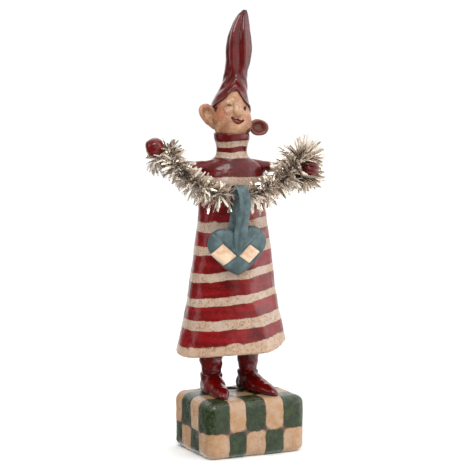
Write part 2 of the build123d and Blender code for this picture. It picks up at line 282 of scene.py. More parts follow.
class Paint:
    """Builds one node material on a Principled shader."""

    def __init__(self, name, **levels):
        self.material = bpy.data.materials.new(name)
        self.material.use_nodes = True
        self.tree = self.material.node_tree
        self.shader = self.tree.nodes["Principled BSDF"]
        for socket, level in levels.items():
            self.shader.inputs[socket.replace("_", " ")].default_value = level

    def node(self, kind, **settings):
        made = self.tree.nodes.new("ShaderNode" + kind)
        for name, value in settings.items():
            setattr(made, name, value)
        return made

    def feed(self, socket, value):
        """Links a socket, or sets it when value is a plain number or colour."""
        if isinstance(value, bpy.types.NodeSocket):
            self.tree.links.new(value, socket)
        else:
            socket.default_value = value

    def mask(self, name):
        return self.node("Attribute", attribute_name=name).outputs["Fac"]

    def texture(self, kind, size, stretch=(1, 1, 1), **settings):
        """A texture in object coordinates, with features about size millimetres."""
        mapping = self.node("Mapping")
        mapping.inputs["Scale"].default_value = [share / MM for share in stretch]
        self.feed(mapping.inputs["Vector"], self.node("TexCoord").outputs["Object"])
        made = self.node(kind, **settings)
        made.inputs["Scale"].default_value = 1.0 / size
        self.feed(made.inputs["Vector"], mapping.outputs["Vector"])
        return made

    def noise(self, size, detail=5, rough=0.55, stretch=(1, 1, 1)):
        """Noise about 0.5. A stretch below 1 draws it out along that axis."""
        made = self.texture("TexNoise", size, stretch)
        made.inputs["Detail"].default_value = detail
        made.inputs["Roughness"].default_value = rough
        return made.outputs["Fac"]

    def maths(self, operation, first, second=0.0):
        made = self.node("Math", operation=operation)
        self.feed(made.inputs[0], first)
        self.feed(made.inputs[1], second)
        return made.outputs["Value"]

    def plus(self, first, second):
        return self.maths("ADD", first, second)

    def times(self, first, second):
        return self.maths("MULTIPLY", first, second)

    def span(self, value, low, high, first=0.0, last=1.0):
        """Value from low to high becomes first to last, clamped."""
        made = self.node("MapRange", interpolation_type="SMOOTHSTEP")
        for socket, v in zip(made.inputs, (value, low, high, first, last)):
            self.feed(socket, v)
        return made.outputs["Result"]

    def blotches(self, size, low, high, most=1.0, detail=5, rough=0.55):
        """Patches from 0 to most, where the noise rises from low to high."""
        return self.span(self.noise(size, detail, rough), low, high, 0.0, most)

    def crackle(self, size, most):
        """Thin crack lines, broken up so that they show in patches only."""
        cells = self.texture("TexVoronoi", size, feature="DISTANCE_TO_EDGE")
        line = self.span(cells.outputs["Distance"], 0.05, 0.0)
        return self.times(line, self.blotches(size * 2.4, 0.46, 0.60, most, detail=3))

    def stripes(self, mask, size, sway):
        """A wave that changes sign near each whole number of the mask."""
        wander = self.times(self.maths("SUBTRACT", self.noise(size, 3), 0.5), sway)
        return self.maths("SINE", self.times(self.plus(self.mask(mask), wander), math.pi))

    def mix(self, share, first, second):
        made = self.node("Mix", data_type="RGBA", blend_type="MIX")
        self.feed(made.inputs[0], share)
        for socket, value in ((made.inputs[6], first), (made.inputs[7], second)):
            self.feed(socket, (*value, 1) if isinstance(value, tuple) else value)
        return made.outputs[2]

    def layers(self, tone, *more):
        """The tone with colours laid over it in turn. Each is (share, colour)."""
        for share, colour in more:
            tone = self.mix(share, tone, colour)
        return tone

    def colour(self, value):
        self.feed(self.shader.inputs["Base Color"], value)

    def roughness(self, value):
        self.feed(self.shader.inputs["Roughness"], value)

    def gloss(self, size, detail, shiniest, dullest):
        """Roughness that changes with noise."""
        self.roughness(self.span(self.noise(size, detail), 0.3, 0.7, shiniest, dullest))

    def relief(self, height, depth):
        """Bump of the given depth in millimetres."""
        made = self.node("Bump")
        made.inputs["Distance"].default_value = depth * MM
        self.feed(made.inputs["Height"], height)
        self.feed(self.shader.inputs["Normal"], made.outputs["Normal"])


# ---- colours ----

RED_GLAZE, RED_GLAZE_WARM = (0.085, 0.0014, 0.0012), (0.135, 0.0024, 0.0022)
RED_DEEP, RED_WARM = (0.128, 0.0016, 0.0016), (0.215, 0.0028, 0.0052)
RED_DARK, RED_UPPER = (0.036, 0.0018, 0.0018), (0.040, 0.0008, 0.0008)
CREAM, CREAM_WARM, CREAM_WORN = (0.45, 0.335, 0.26), (0.47, 0.31, 0.20), (0.22, 0.145, 0.10)
BROWN, SOOT = (0.07, 0.028, 0.016), (0.014, 0.008, 0.006)
SKIN_BROWN, SKIN, SKIN_BRIGHT = (0.29, 0.120, 0.060), (0.47, 0.265, 0.150), (0.60, 0.39, 0.23)
SKIN_WORN, SKIN_CRACK, SKIN_SOOT = (0.20, 0.085, 0.045), (0.11, 0.036, 0.020), (0.026, 0.009, 0.006)
BLUSH, RED_STAIN = (0.40, 0.115, 0.062), (0.13, 0.032, 0.022)
MOUTH_EDGE, MOUTH_MIDDLE = (0.095, 0.013, 0.010), (0.22, 0.065, 0.048)
GREEN_DEEP, GREEN, GREEN_WORN = (0.010, 0.019, 0.005), (0.030, 0.052, 0.014), (0.10, 0.115, 0.07)
TAN, TAN_WARM, TAN_WORN = (0.43, 0.285, 0.185), (0.40, 0.215, 0.100), (0.25, 0.13, 0.07)
CELL_EDGE, BLOCK_RUBBED, HOLE_DARK = (0.05, 0.024, 0.012), (0.20, 0.17, 0.11), (0.003, 0.002, 0.002)
TEAL_DEEP, TEAL = (0.048, 0.080, 0.084), (0.098, 0.142, 0.153)
TEAL_DARK, TEAL_WORN, TEAL_FOLD = (0.030, 0.048, 0.045), (0.19, 0.21, 0.21), (0.018, 0.028, 0.026)
DIAMOND_CREAM, DIAMOND_WARM = (0.73, 0.54, 0.38), (0.57, 0.36, 0.225)
FOIL_BRIGHT, FOIL_SHADE = (0.84, 0.75, 0.65), (0.28, 0.21, 0.155)
STEEL_GREY, STEEL_BRIGHT = (0.42, 0.40, 0.37), (0.60, 0.57, 0.52)
WOOD_PALE, WOOD_DARK = (0.50, 0.33, 0.19), (0.32, 0.18, 0.09)
FLOOR_GREY, FLOOR_PALE = (0.93, 0.93, 0.925), (0.95, 0.95, 0.945)


# ---- materials ----

def red_glaze():
    paint = Paint("red_glaze", Coat_Weight=0.3, Coat_Roughness=0.12, Specular_IOR_Level=0.35)
    # The dark mask lays darker paint over the hat and a dark tip on it, and painted shade at the foot of each
    # boot and on each leg.
    paint.colour(paint.layers(RED_GLAZE, (paint.blotches(5.0, 0.35, 0.68, detail=4), RED_GLAZE_WARM),
                              (paint.blotches(1.6, 0.54, 0.72, 0.8, rough=0.7), RED_DARK),
                              (paint.mask("dark"), SOOT)))
    paint.gloss(2.2, 4, 0.12, 0.26)
    paint.relief(paint.noise(1.3), 0.07)
    return paint.material


def gown_paint():
    """Stripes: the band mask counts them upwards from the hem, cream on the even numbers."""
    paint = Paint("gown_paint", Coat_Weight=0.2, Coat_Roughness=0.14, Specular_IOR_Level=0.32)
    wave = paint.stripes("band", 3.2, 0.18)
    red_share = paint.span(wave, 0.06, -0.06)
    edge = paint.times(paint.span(paint.maths("ABSOLUTE", wave), 0.20, 0.02),
                       paint.blotches(2.6, 0.44, 0.62, 0.6, detail=4))
    streaks = paint.noise(3.0, 4, stretch=(0.18, 0.18, 1.0))
    # The upper mask lays a darker red on the chest, shoulders and sleeves: painted shade that tones down the
    # light their upward slopes catch.
    red = paint.layers(RED_DEEP, (paint.span(streaks, 0.36, 0.66), RED_WARM),
                       (paint.blotches(9.0, 0.52, 0.75, 0.6, detail=3), RED_DARK),
                       (paint.blotches(0.9, 0.60, 0.72, 0.8, rough=0.75), RED_DARK),
                       (paint.mask("upper"), RED_UPPER))
    specks = paint.times(paint.blotches(0.6, 0.53, 0.62, detail=4, rough=0.7),
                         paint.blotches(6.0, 0.40, 0.54, detail=3))
    cream = paint.layers(CREAM, (paint.blotches(6.0, 0.42, 0.7, detail=4), CREAM_WARM),
                         (paint.mask("low"), CREAM_WARM),
                         (paint.blotches(1.5, 0.52, 0.74, 0.7, rough=0.7), CREAM_WORN),
                         (specks, BROWN), (paint.crackle(3.0, 0.35), BROWN))
    # The inside mask lays near-black painted shade in the hollow under the hem.
    paint.colour(paint.layers(cream, (red_share, red), (edge, BROWN), (paint.mask("inside"), SOOT)))
    gloss = paint.span(paint.noise(2.4), 0.3, 0.7, 0.20, 0.36)
    paint.roughness(paint.plus(gloss, paint.times(red_share, -0.05)))
    height = paint.plus(paint.noise(1.4), paint.times(edge, -0.5))
    paint.relief(paint.plus(height, paint.times(streaks, 0.8)), 0.08)
    return paint.material


def skin_paint():
    paint = Paint("skin_paint", Coat_Weight=0.2, Coat_Roughness=0.2, Specular_IOR_Level=0.4)
    mouth, dark = paint.mask("mouth"), paint.mask("dark")
    lips = paint.mix(paint.span(mouth, 0.40, 0.62), MOUTH_EDGE, MOUTH_MIDDLE)
    # Over the skin go paler paint with painted highlights, blush, worn patches, cracks, a red stain that is
    # partly painted shade, the mouth, and dark paint for the eyes with painted shade.
    paint.colour(paint.layers(SKIN_BROWN, (paint.blotches(3.4, 0.38, 0.64, rough=0.65), SKIN),
                              (paint.mask("bright"), SKIN_BRIGHT), (paint.mask("blush"), BLUSH),
                              (paint.blotches(1.2, 0.50, 0.66, 0.65, rough=0.75), SKIN_WORN),
                              (paint.crackle(2.4, 0.85), SKIN_CRACK), (paint.mask("stain"), RED_STAIN),
                              (paint.span(mouth, -0.40, -0.05), lips), (dark, SKIN_SOOT)))
    paint.gloss(1.5, 4, 0.28, 0.45)
    # The eyes, the mouth and the painted shade in the hollows are dull.
    dull = paint.maths("MAXIMUM", dark, paint.span(mouth, -0.40, -0.05, 0.0, 0.8))
    paint.feed(paint.shader.inputs["Specular IOR Level"], paint.span(dull, 0.0, 1.0, 0.4, 0.02))
    paint.relief(paint.noise(1.0), 0.22)
    return paint.material


def block_paint():
    """Chequers: each cell mask counts cells along one axis of the block."""
    paint = Paint("block_paint", Coat_Weight=0.2, Coat_Roughness=0.18, Specular_IOR_Level=0.4)
    waves = [paint.stripes("cell_" + axis, size, 0.16) for axis, size in (("x", 4.5), ("y", 5.2), ("z", 5.9))]
    product = paint.times(paint.times(waves[0], waves[1]), waves[2])
    green_share = paint.span(product, 0.04, -0.04)
    edge = paint.times(paint.span(paint.maths("ABSOLUTE", product), 0.13, 0.01),
                       paint.span(paint.noise(2.8, 4), 0.40, 0.60, 0.25, 0.85))
    green = paint.layers(GREEN_DEEP, (paint.blotches(3.0, 0.36, 0.68, rough=0.65), GREEN),
                         (paint.blotches(0.9, 0.60, 0.72, 0.7, rough=0.8), GREEN_WORN))
    tan = paint.layers(TAN, (paint.blotches(5.0, 0.38, 0.66, detail=4), TAN_WARM),
                       (paint.blotches(1.6, 0.52, 0.72, 0.6, rough=0.75), TAN_WORN),
                       (paint.crackle(3.4, 0.3), BROWN))
    # Patches on the rounded edges are rubbed paint, and on the green cells they also stand in for painted
    # highlights.
    rubbed = paint.times(paint.mask("wear"), paint.blotches(1.3, 0.50, 0.70, 0.5, rough=0.7))
    # The inside mask paints the hole near-black: painted shade in the hole.
    paint.colour(paint.layers(tan, (green_share, green), (edge, CELL_EDGE), (rubbed, BLOCK_RUBBED),
                              (paint.mask("inside"), HOLE_DARK)))
    paint.gloss(1.8, 5, 0.22, 0.46)
    paint.relief(paint.plus(paint.noise(1.1), paint.times(edge, -0.6)), 0.22)
    return paint.material


def heart_paint():
    paint = Paint("heart_paint", Coat_Weight=0.1, Coat_Roughness=0.25, Specular_IOR_Level=0.35)
    teal = paint.layers(TEAL_DEEP, (paint.blotches(4.5, 0.36, 0.66, detail=4), TEAL),
                        (paint.blotches(0.9, 0.56, 0.72, 0.5, rough=0.7), TEAL_DARK),
                        (paint.blotches(1.4, 0.64, 0.72, 0.5, rough=0.8), TEAL_WORN))
    cream = paint.mix(paint.blotches(4.0, 0.4, 0.68, detail=4), DIAMOND_CREAM, DIAMOND_WARM)
    # The fold mask lays painted shade in the grooves round the woven squares, along the rim, towards the tip
    # and in the strap's crease.
    paint.colour(paint.layers(teal, (paint.span(paint.mask("diamond"), -0.12, 0.12), cream),
                              (paint.span(paint.mask("fold"), 0.0, 1.0, 0.0, 0.8), TEAL_FOLD)))
    paint.gloss(1.8, 5, 0.32, 0.52)
    paint.relief(paint.noise(1.1), 0.16)
    return paint.material


def foil():
    paint = Paint("foil", Metallic=0.8)
    paint.colour(paint.mix(paint.mask("shade"), FOIL_BRIGHT, FOIL_SHADE))
    paint.gloss(1.5, 3, 0.16, 0.34)
    paint.relief(paint.noise(0.9, 3), 0.10)
    return paint.material


def steel():
    paint = Paint("steel_wire", Metallic=1.0)
    paint.colour(paint.mix(paint.noise(0.8, 4), STEEL_GREY, STEEL_BRIGHT))
    paint.gloss(0.5, 4, 0.25, 0.42)
    paint.relief(paint.noise(0.3, 3, stretch=(1.0, 1.0, 0.1)), 0.03)
    return paint.material


def dowel_wood():
    paint = Paint("dowel_wood", Specular_IOR_Level=0.3)
    grain = paint.noise(0.5, stretch=(1.0, 1.0, 0.06))
    paint.colour(paint.mix(paint.span(grain, 0.3, 0.7), WOOD_PALE, WOOD_DARK))
    paint.roughness(paint.span(grain, 0.3, 0.7, 0.55, 0.75))
    paint.relief(grain, 0.08)
    return paint.material


red_material = red_glaze()
gown_material = gown_paint()
skin_material = skin_paint()
block_material = block_paint()
heart_material = heart_paint()
foil_material = foil()
steel_material = steel()
wood_material = dowel_wood()

# ---- camera ----

AZIMUTH, ELEVATION = math.radians(-18.0), math.radians(7.0)
AIM = Vector((-1.91, 0.64, 108.0)) * MM
# The camera stands one metre back from the point that it aims at.
back = Vector((math.sin(AZIMUTH) * math.cos(ELEVATION), -math.cos(AZIMUTH) * math.cos(ELEVATION),
               math.sin(ELEVATION)))
lens = bpy.data.cameras.new("camera")
lens.sensor_width = 36.0
lens.lens = 153.96
lens.clip_start, lens.clip_end = 0.01, 100.0
camera = add_object("camera", lens)
camera.rotation_mode = "QUATERNION"
camera.location = AIM + back
camera.rotation_quaternion = (-back).to_track_quat("-Z", "Y")
bpy.context.scene.camera = camera

# ---- garland: core wire ----

GARLAND_ROUTE = [(-43.2, -2.8, 147.0), (-43.6, 1.3, 146.1), (-41.3, 4.5, 147.8), (-37.9, 4.0, 150.4),
                 (-36.0, 0.2, 151.5), (-36.1, -4.4, 149.2), (-35.1, -7.6, 144.4), (-29.2, -11.0, 138.2),
                 (-21.4, -13.6, 132.6), (-12.0, -15.0, 129.5), (2.0, -15.0, 129.5), (11.0, -12.9, 132.4),
                 (19.4, -9.8, 136.6), (25.2, -7.2, 140.6), (28.6, -4.8, 144.4), (32.0, -1.6, 145.8),
                 (35.2, 1.6, 144.3), (36.6, 2.7, 140.2), (35.4, 1.0, 136.0), (32.6, -2.6, 134.8),
                 (30.6, -5.7, 137.2)]
WIRE_DIAMETER = 1.2


def wire_curve(name, bevel):
    """The core wire's own line, as one open NURBS spline."""
    curve = bpy.data.curves.new(name, "CURVE")
    curve.dimensions = "3D"
    curve.bevel_depth = bevel * MM
    curve.bevel_resolution = 4
    curve.use_fill_caps = True
    curve.resolution_u = 12
    spline = curve.splines.new("NURBS")
    spline.points.add(len(GARLAND_ROUTE) - 1)
    for point, (x, y, z) in zip(spline.points, GARLAND_ROUTE):
        point.co = (x * MM, y * MM, z * MM, 1.0)
    spline.order_u = 3
    spline.use_endpoint_u = True
    return add_object(name, curve)


garland = wire_curve("garland_core", WIRE_DIAMETER / 2)
garland.data.materials.append(steel_material)
finish_piece(garland, "root", "steel_wire", "garland_wire")

bare = wire_curve("garland_line", 0.0)
line_mesh = finished_mesh(bare)
wire_line = np.array([v.co for v in line_mesh.vertices]) / MM
bpy.data.meshes.remove(line_mesh)
bpy.data.objects.remove(bare)
run = distances(wire_line)

# ---- outline of the gown: height, half width and half depth ----

GOWN = ((46.0, 29.4, 21.8), (62.0, 25.8, 19.7), (75.0, 22.9, 18.0), (100.0, 19.4, 15.5), (121.5, 17.0, 13.5),
        (134.0, 16.6, 12.2), (141.0, 15.6, 10.6), (144.2, 12.6, 9.2), (146.0, 9.6, 8.2), (147.6, 8.2, 7.6),
        (150.5, 7.6, 7.3), (153.5, 8.0, 7.7), (156.2, 8.9, 8.7), (158.0, 9.0, 8.8))


def gown_reach(points, room=0.0):
    """How far out each point is from the gown's middle line, as a share of its outline."""
    half_width, half_depth = profile(points[:, 2], GOWN)
    return np.hypot((points[:, 0] - GOWN_X) / (half_width + room),
                    (points[:, 1] - GOWN_Y) / (half_depth + room))


# ---- garland: tinsel ----

FISTS = {"right": (-43.3, 0.0, 152.7), "left": (36.5, -4.6, 140.3)}
# Where the foil is parted: round each fist, and in front of the left one.
CLEARINGS = ((FISTS["right"], 5.1), (FISTS["left"], 4.2), ((35.2, -8.5, 140.9), 3.6),
             ((34.4, -12.0, 141.2), 3.6))
# The foil keeps off the strap's sides, off its back strand, which is wider lower down, and off
# the zone that the back strand takes when the heart is raised.
STRAP_SIDES_X = (-6.7, -0.4)
STRAND_X, STRAND_LOW_X, STRAND_LOW_TOP, STRAND_FRONT_Y = -8.6, -10.3, 117.0, -13.2
RAISED_DEPTH, RAISED_TOP = 5.6, 5.0
SWING_LIMIT = math.radians(110.0)
STRAP_ROOM = 3.3

STRIPS_PER_MM = 9.5
STRIP_STEPS = 6
STRIP_TURN = 2.399
STRIP_LENGTHS, STRIP_HALF_WIDTHS = (7.4, 9.6), (0.45, 0.78)
STRIP_TINTS, TINT_SHARES = (-0.25, 0.05, 0.45), (0.42, 0.33, 0.25)
# How much strips differ in where they stand, how they turn, lean and twist, and how they bend.
PLACE_JITTER, TURN_JITTER, LEAN_SPREAD, ACROSS_SPREAD, TWIST_SPREAD = 0.15, 0.9, 0.38, 0.45, 0.7
BEND_SPREAD, DROOPS = 1.4, (0.2, 2.2)
# The coil round the left wrist: its length along the wire, and the strips that pack it closer.
COIL_LENGTH, COIL_STRIPS = 24.0, 190
COIL_LEAN = np.array((0.85, -0.5, 0.0))
# How far strips may reach to either side, and where the foil ends at the left and in front.
TIP_LIMITS_X = (-47.4, 43.4)
FOIL_LIMIT_X, FOIL_LIMIT_Y = 43.7, -24.6
GOWN_ROOM = 0.35


def clear_of_gown(points):
    """Moves points that are inside the gown straight out to its surface."""
    reach = gown_reach(points, GOWN_ROOM)
    push = np.where((reach < 1) & (reach > 0.05), 1 / np.maximum(reach, 0.05), 1.0)
    return np.stack([GOWN_X + (points[:, 0] - GOWN_X) * push, GOWN_Y + (points[:, 1] - GOWN_Y) * push,
                     points[:, 2]], axis=1)


def swung_back(y, z):
    """Offsets from the pivot, turned back from the heart's raised position to its hanging one."""
    y, z = y - PIVOT[1], z - PIVOT[2]
    return (y * math.cos(SWING_LIMIT) - z * math.sin(SWING_LIMIT),
            y * math.sin(SWING_LIMIT) + z * math.cos(SWING_LIMIT))


def in_the_way(line, on_right):
    """Whether a strip would cross a fist, a clearing, or the strap, hanging or raised."""
    for centre, room in CLEARINGS:
        if np.linalg.norm(line - np.array(centre), axis=1).min() < room:
            return True
    x, y, z = line.T
    if not on_right:
        return bool(np.any(x < STRAP_SIDES_X[1]))
    back_y, back_z = swung_back(y, z)
    raised = (back_y > 0.0) & (back_y < RAISED_DEPTH) & (back_z < RAISED_TOP)
    by_the_strand = (x > STRAND_X) | ((x > STRAND_LOW_X) & (z < STRAND_LOW_TOP))
    return bool(np.any(x > STRAP_SIDES_X[0]) or np.any(by_the_strand & ((y > STRAND_FRONT_Y) | raised)))


def wire_point(at):
    return np.array([np.interp(at, run, wire_line[:, axis]) for axis in range(3)])


def strip_length(length, root, out, coiled, on_right):
    """A strip's length, from where on the garland it stands and which way it points."""
    up, down = max(0.0, out[2]), max(0.0, -out[2])
    # The foil is longest towards the coil, and shorter underneath at both ends.
    length += (0.0 if on_right else 1.6 - 1.2 * down) * ease(root[0], 9.0, 21.0)
    length *= 1 - 0.24 * down * ease(abs(root[0] - PIVOT[0]), 12.0, 24.0)
    # Strips that stand up are shorter, and so are those beside the right fist.
    length *= 1 - 0.22 * up * (1 - coiled) - 0.45 * max(0.0, -out[0]) * (root[0] < -38)
    length *= 1 + coiled * (0.22 if out[2] > 0 else 0.30 * out[2])
    return min(length, (TIP_LIMITS_X[1] - root[0]) / max(out[0], 0.05))


def tinsel(name, first, last, seed):
    """Foil strips that stand out all round the core wire between two distances along it."""
    random = np.random.default_rng(seed)
    on_right = name.endswith("right")
    places = np.linspace(first, last, int((last - first) * STRIPS_PER_MM))
    if not on_right:
        places = np.concatenate([places, np.linspace(last - COIL_LENGTH, last, COIL_STRIPS)])
    places = np.clip(places + random.uniform(-PLACE_JITTER, PLACE_JITTER, len(places)), first, last)
    steps = np.linspace(0, 1, STRIP_STEPS)
    points, faces, shades = [], [], []
    for number, at in enumerate(places):
        root = wire_point(at)
        along = unit(wire_point(at + 0.8) - wire_point(at - 0.8))
        side, up = square_frame(along)
        turn = number * STRIP_TURN + random.uniform(-TURN_JITTER, TURN_JITTER)
        lean = random.normal(0.0, LEAN_SPREAD)
        if on_right:
            lean += 0.6 * ease(at, last - 5.0, last)
        out = (side * math.cos(turn) + up * math.sin(turn)) * math.cos(lean) + along * math.sin(lean)
        coiled = 0.0 if on_right else ease(at, last - 26.0, last - 21.0)
        if coiled > 0:
            # The coil's strips open round the fist, and lean out past it to the figure's left.
            out = out + 0.8 * coiled * unit(root - np.array(FISTS["left"]))
            out = out + coiled * random.uniform(0.0, 1.3) * COIL_LEAN
        out = unit(out)
        across = along + random.normal(0, ACROSS_SPREAD, 3)
        across = unit(across - out * (across @ out))
        droop = random.uniform(*DROOPS)
        bend = np.cross(out, across) * random.normal(0.0, BEND_SPREAD) - UP * droop
        twist = random.normal(0.0, TWIST_SPREAD)
        length = strip_length(random.uniform(*STRIP_LENGTHS), root, out, coiled, on_right)
        half = random.uniform(*STRIP_HALF_WIDTHS)
        tint = random.choice(STRIP_TINTS, p=TINT_SHARES)
        middles = root + out * (0.3 + length * steps[:, None]) + bend * steps[:, None] ** 2
        if in_the_way(middles, on_right) or middles[-1][0] < TIP_LIMITS_X[0]:
            continue
        edges = range(len(points), len(points) + 2 * (STRIP_STEPS - 1), 2)
        faces += [(here, here + 1, here + 3, here + 2) for here in edges]
        for t, middle in zip(steps, middles):
            spin = math.cos(twist * t) * across + math.sin(twist * t) * np.cross(out, across)
            taper = half * (1 - 0.2 * t if t < 1 else 0.55)
            points += [middle - spin * taper, middle + spin * taper]
            shades += [min(1.0, max(0.0, 0.85 - 1.05 * t + tint))] * 2
    points = clear_of_gown(np.array(points))
    points[:, 0] = np.minimum(points[:, 0], FOIL_LIMIT_X)
    points[:, 1] = np.maximum(points[:, 1], FOIL_LIMIT_Y)
    obj = place(name, points, faces, foil_material)
    mark(obj, shade=shades)
    return obj


strap_at = run[np.argmin(np.linalg.norm(wire_line - np.array(PIVOT), axis=1))]
tinsel_right = tinsel("tinsel_strips_right", 0.0, strap_at - STRAP_ROOM, 11)
tinsel_left = tinsel("tinsel_strips_left", strap_at + STRAP_ROOM, run[-1], 12)
finish_piece(tinsel_right, "root", "foil", "tinsel_right")
finish_piece(tinsel_left, "root", "foil", "tinsel_left")

# ---- block ----

BLOCK_HALF = np.array((26.7, 21.5, BLOCK_TOP / 2))
BLOCK_CELL_EDGES = {"x": (-26.7, -15.4, -6.5, 4.2, 14.0, 26.7), "y": (-21.5, -9.1, 0.5, 10.7, 21.5),
                    "z": (0.0, 13.0, BLOCK_TOP)}
CELL_MARGIN = 0.36
ROUND_SIDE, ROUND_TOP, ROUND_BOTTOM = 5.0, 4.4, 3.8
HOLE_X, HOLE_Y, HOLE_RADIUS, HOLE_DEPTH = -0.5, 11.0, 3.5, 9.0


def box_shell(half, spacing):
    """Points and faces of a box from -half to half, cut into squares of about that spacing."""
    counts = [int(round(2 * h / spacing)) for h in half]
    numbers, faces = {}, []
    for axis, end in np.ndindex(3, 2):
        first, second = (axis + 1) % 3, (axis + 2) % 3
        for i, j in np.ndindex(counts[first], counts[second]):
            face = []
            for a, b in ((i, j), (i + 1, j), (i + 1, j + 1), (i, j + 1)):
                key = [0, 0, 0]
                key[axis], key[first], key[second] = end * counts[axis], a, b
                face.append(numbers.setdefault(tuple(key), len(numbers)))
            faces.append(face)
    return (2 * np.array(list(numbers)) / counts - 1) * half, faces


shell, shell_faces = box_shell(BLOCK_HALF, 0.62)
rounding = np.full(shell.shape, ROUND_SIDE)
rounding[:, 2] = np.where(shell[:, 2] > 0, ROUND_TOP, ROUND_BOTTOM)
core = np.clip(shell, -(BLOCK_HALF - rounding), BLOCK_HALF - rounding)
reach = (shell - core) / rounding
# Three edges that meet share one round corner, and a point on a flat stays where it is.
far = np.maximum(np.linalg.norm(reach, axis=1), 1e-6)
rounded = core + reach / far[:, None] * rounding * (far > 1e-5)[:, None]
block_points = rounded + UP * BLOCK_TOP / 2
cells = {}
for number, (axis, edges) in enumerate(BLOCK_CELL_EDGES.items()):
    last = len(edges) - 1
    cell = np.interp(block_points[:, number], edges, range(last + 1))
    # The outer faces are kept off the whole numbers, where an edge between cells is painted.
    cells["cell_" + axis] = np.clip(cell, CELL_MARGIN, last - CELL_MARGIN)
turned = block_points.copy()
turned[:, 0] = block_points[:, 0] * math.cos(BLOCK_TURN) - block_points[:, 1] * math.sin(BLOCK_TURN)
turned[:, 1] = block_points[:, 0] * math.sin(BLOCK_TURN) + block_points[:, 1] * math.cos(BLOCK_TURN)
block = place("chequered_block", turned, shell_faces, block_material)
# The edge mask rises over the rounded edges and corners, for rubbed paint and painted highlights.
mark(block, wear=ease(np.sort(np.abs(reach), axis=1)[:, 1], 0.25, 0.75), inside=0.0, **cells)
roughen(block, (11.0, 0.45), (4.0, 0.16), (1.6, 0.05))
settled = read_points(block)
settled[:, 2] = np.where(settled[:, 2] < 0.6, 0.0, np.minimum(settled[:, 2], BLOCK_TOP + 0.1))
# The top is kept true, so that the boots stand on it.
on_top = ease(settled[:, 2], BLOCK_TOP - 2.0, BLOCK_TOP - 0.5)
settled[:, 2] = settled[:, 2] * (1 - on_top) + np.minimum(settled[:, 2], BLOCK_TOP) * on_top
write_points(block, settled)

hole_heights = (BLOCK_TOP - HOLE_DEPTH, BLOCK_TOP - HOLE_DEPTH / 2, BLOCK_TOP + 3)
hole_rings = round_rings([(z, HOLE_RADIUS) for z in hole_heights], HOLE_X, HOLE_Y, 48)
drill = place("drill", *skin(hole_rings), block_material)
# The hole's walls are painted near-black, as painted shade.
mark(drill, cell_x=0.5, cell_y=0.5, cell_z=0.5, wear=0.0, inside=1.0)
cut = block.modifiers.new("hole", "BOOLEAN")
cut.operation = "DIFFERENCE"
cut.object = drill
cut.solver = "EXACT"
apply_modifiers(block)
bpy.data.objects.remove(drill)
finish_piece(block, "root", "block_paint", "base_block")

# ---- boots and legs ----

LEGS = {"right": {"ankle": (-12.6, 6.2), "toe_turn": 0.0, "radius": 5.5, "stretch": 1.0},
        "left": {"ankle": (7.4, 8.3), "toe_turn": 16.0, "radius": 5.1, "stretch": 1.12}}
BOOT_TOP, LEG_TOP = 38.0, 57.0
# Along the foot from behind the ankle: distance, half width and half height.
FOOT = ((-6.4, 1.8, 2.3), (-5.6, 3.6, 3.9), (-4.0, 4.9, 4.9), (1.0, 5.8, 5.8), (5.0, 5.5, 5.4),
        (9.0, 5.1, 4.4), (14.5, 4.3, 3.4), (19.0, 3.0, 2.5), (21.5, 1.8, 1.7), (22.5, 0.7, 0.8))
# Up the leg: height, and how far it swells past the boot's radius.
LEG_SWELL = ((BOOT_TOP - 0.6, -0.7), (BOOT_TOP + 1.0, -0.5), (BOOT_TOP + 4.5, 0.0), (BOOT_TOP + 8.5, 0.5),
             (LEG_TOP - 3, 1.2), (LEG_TOP, 0.8))

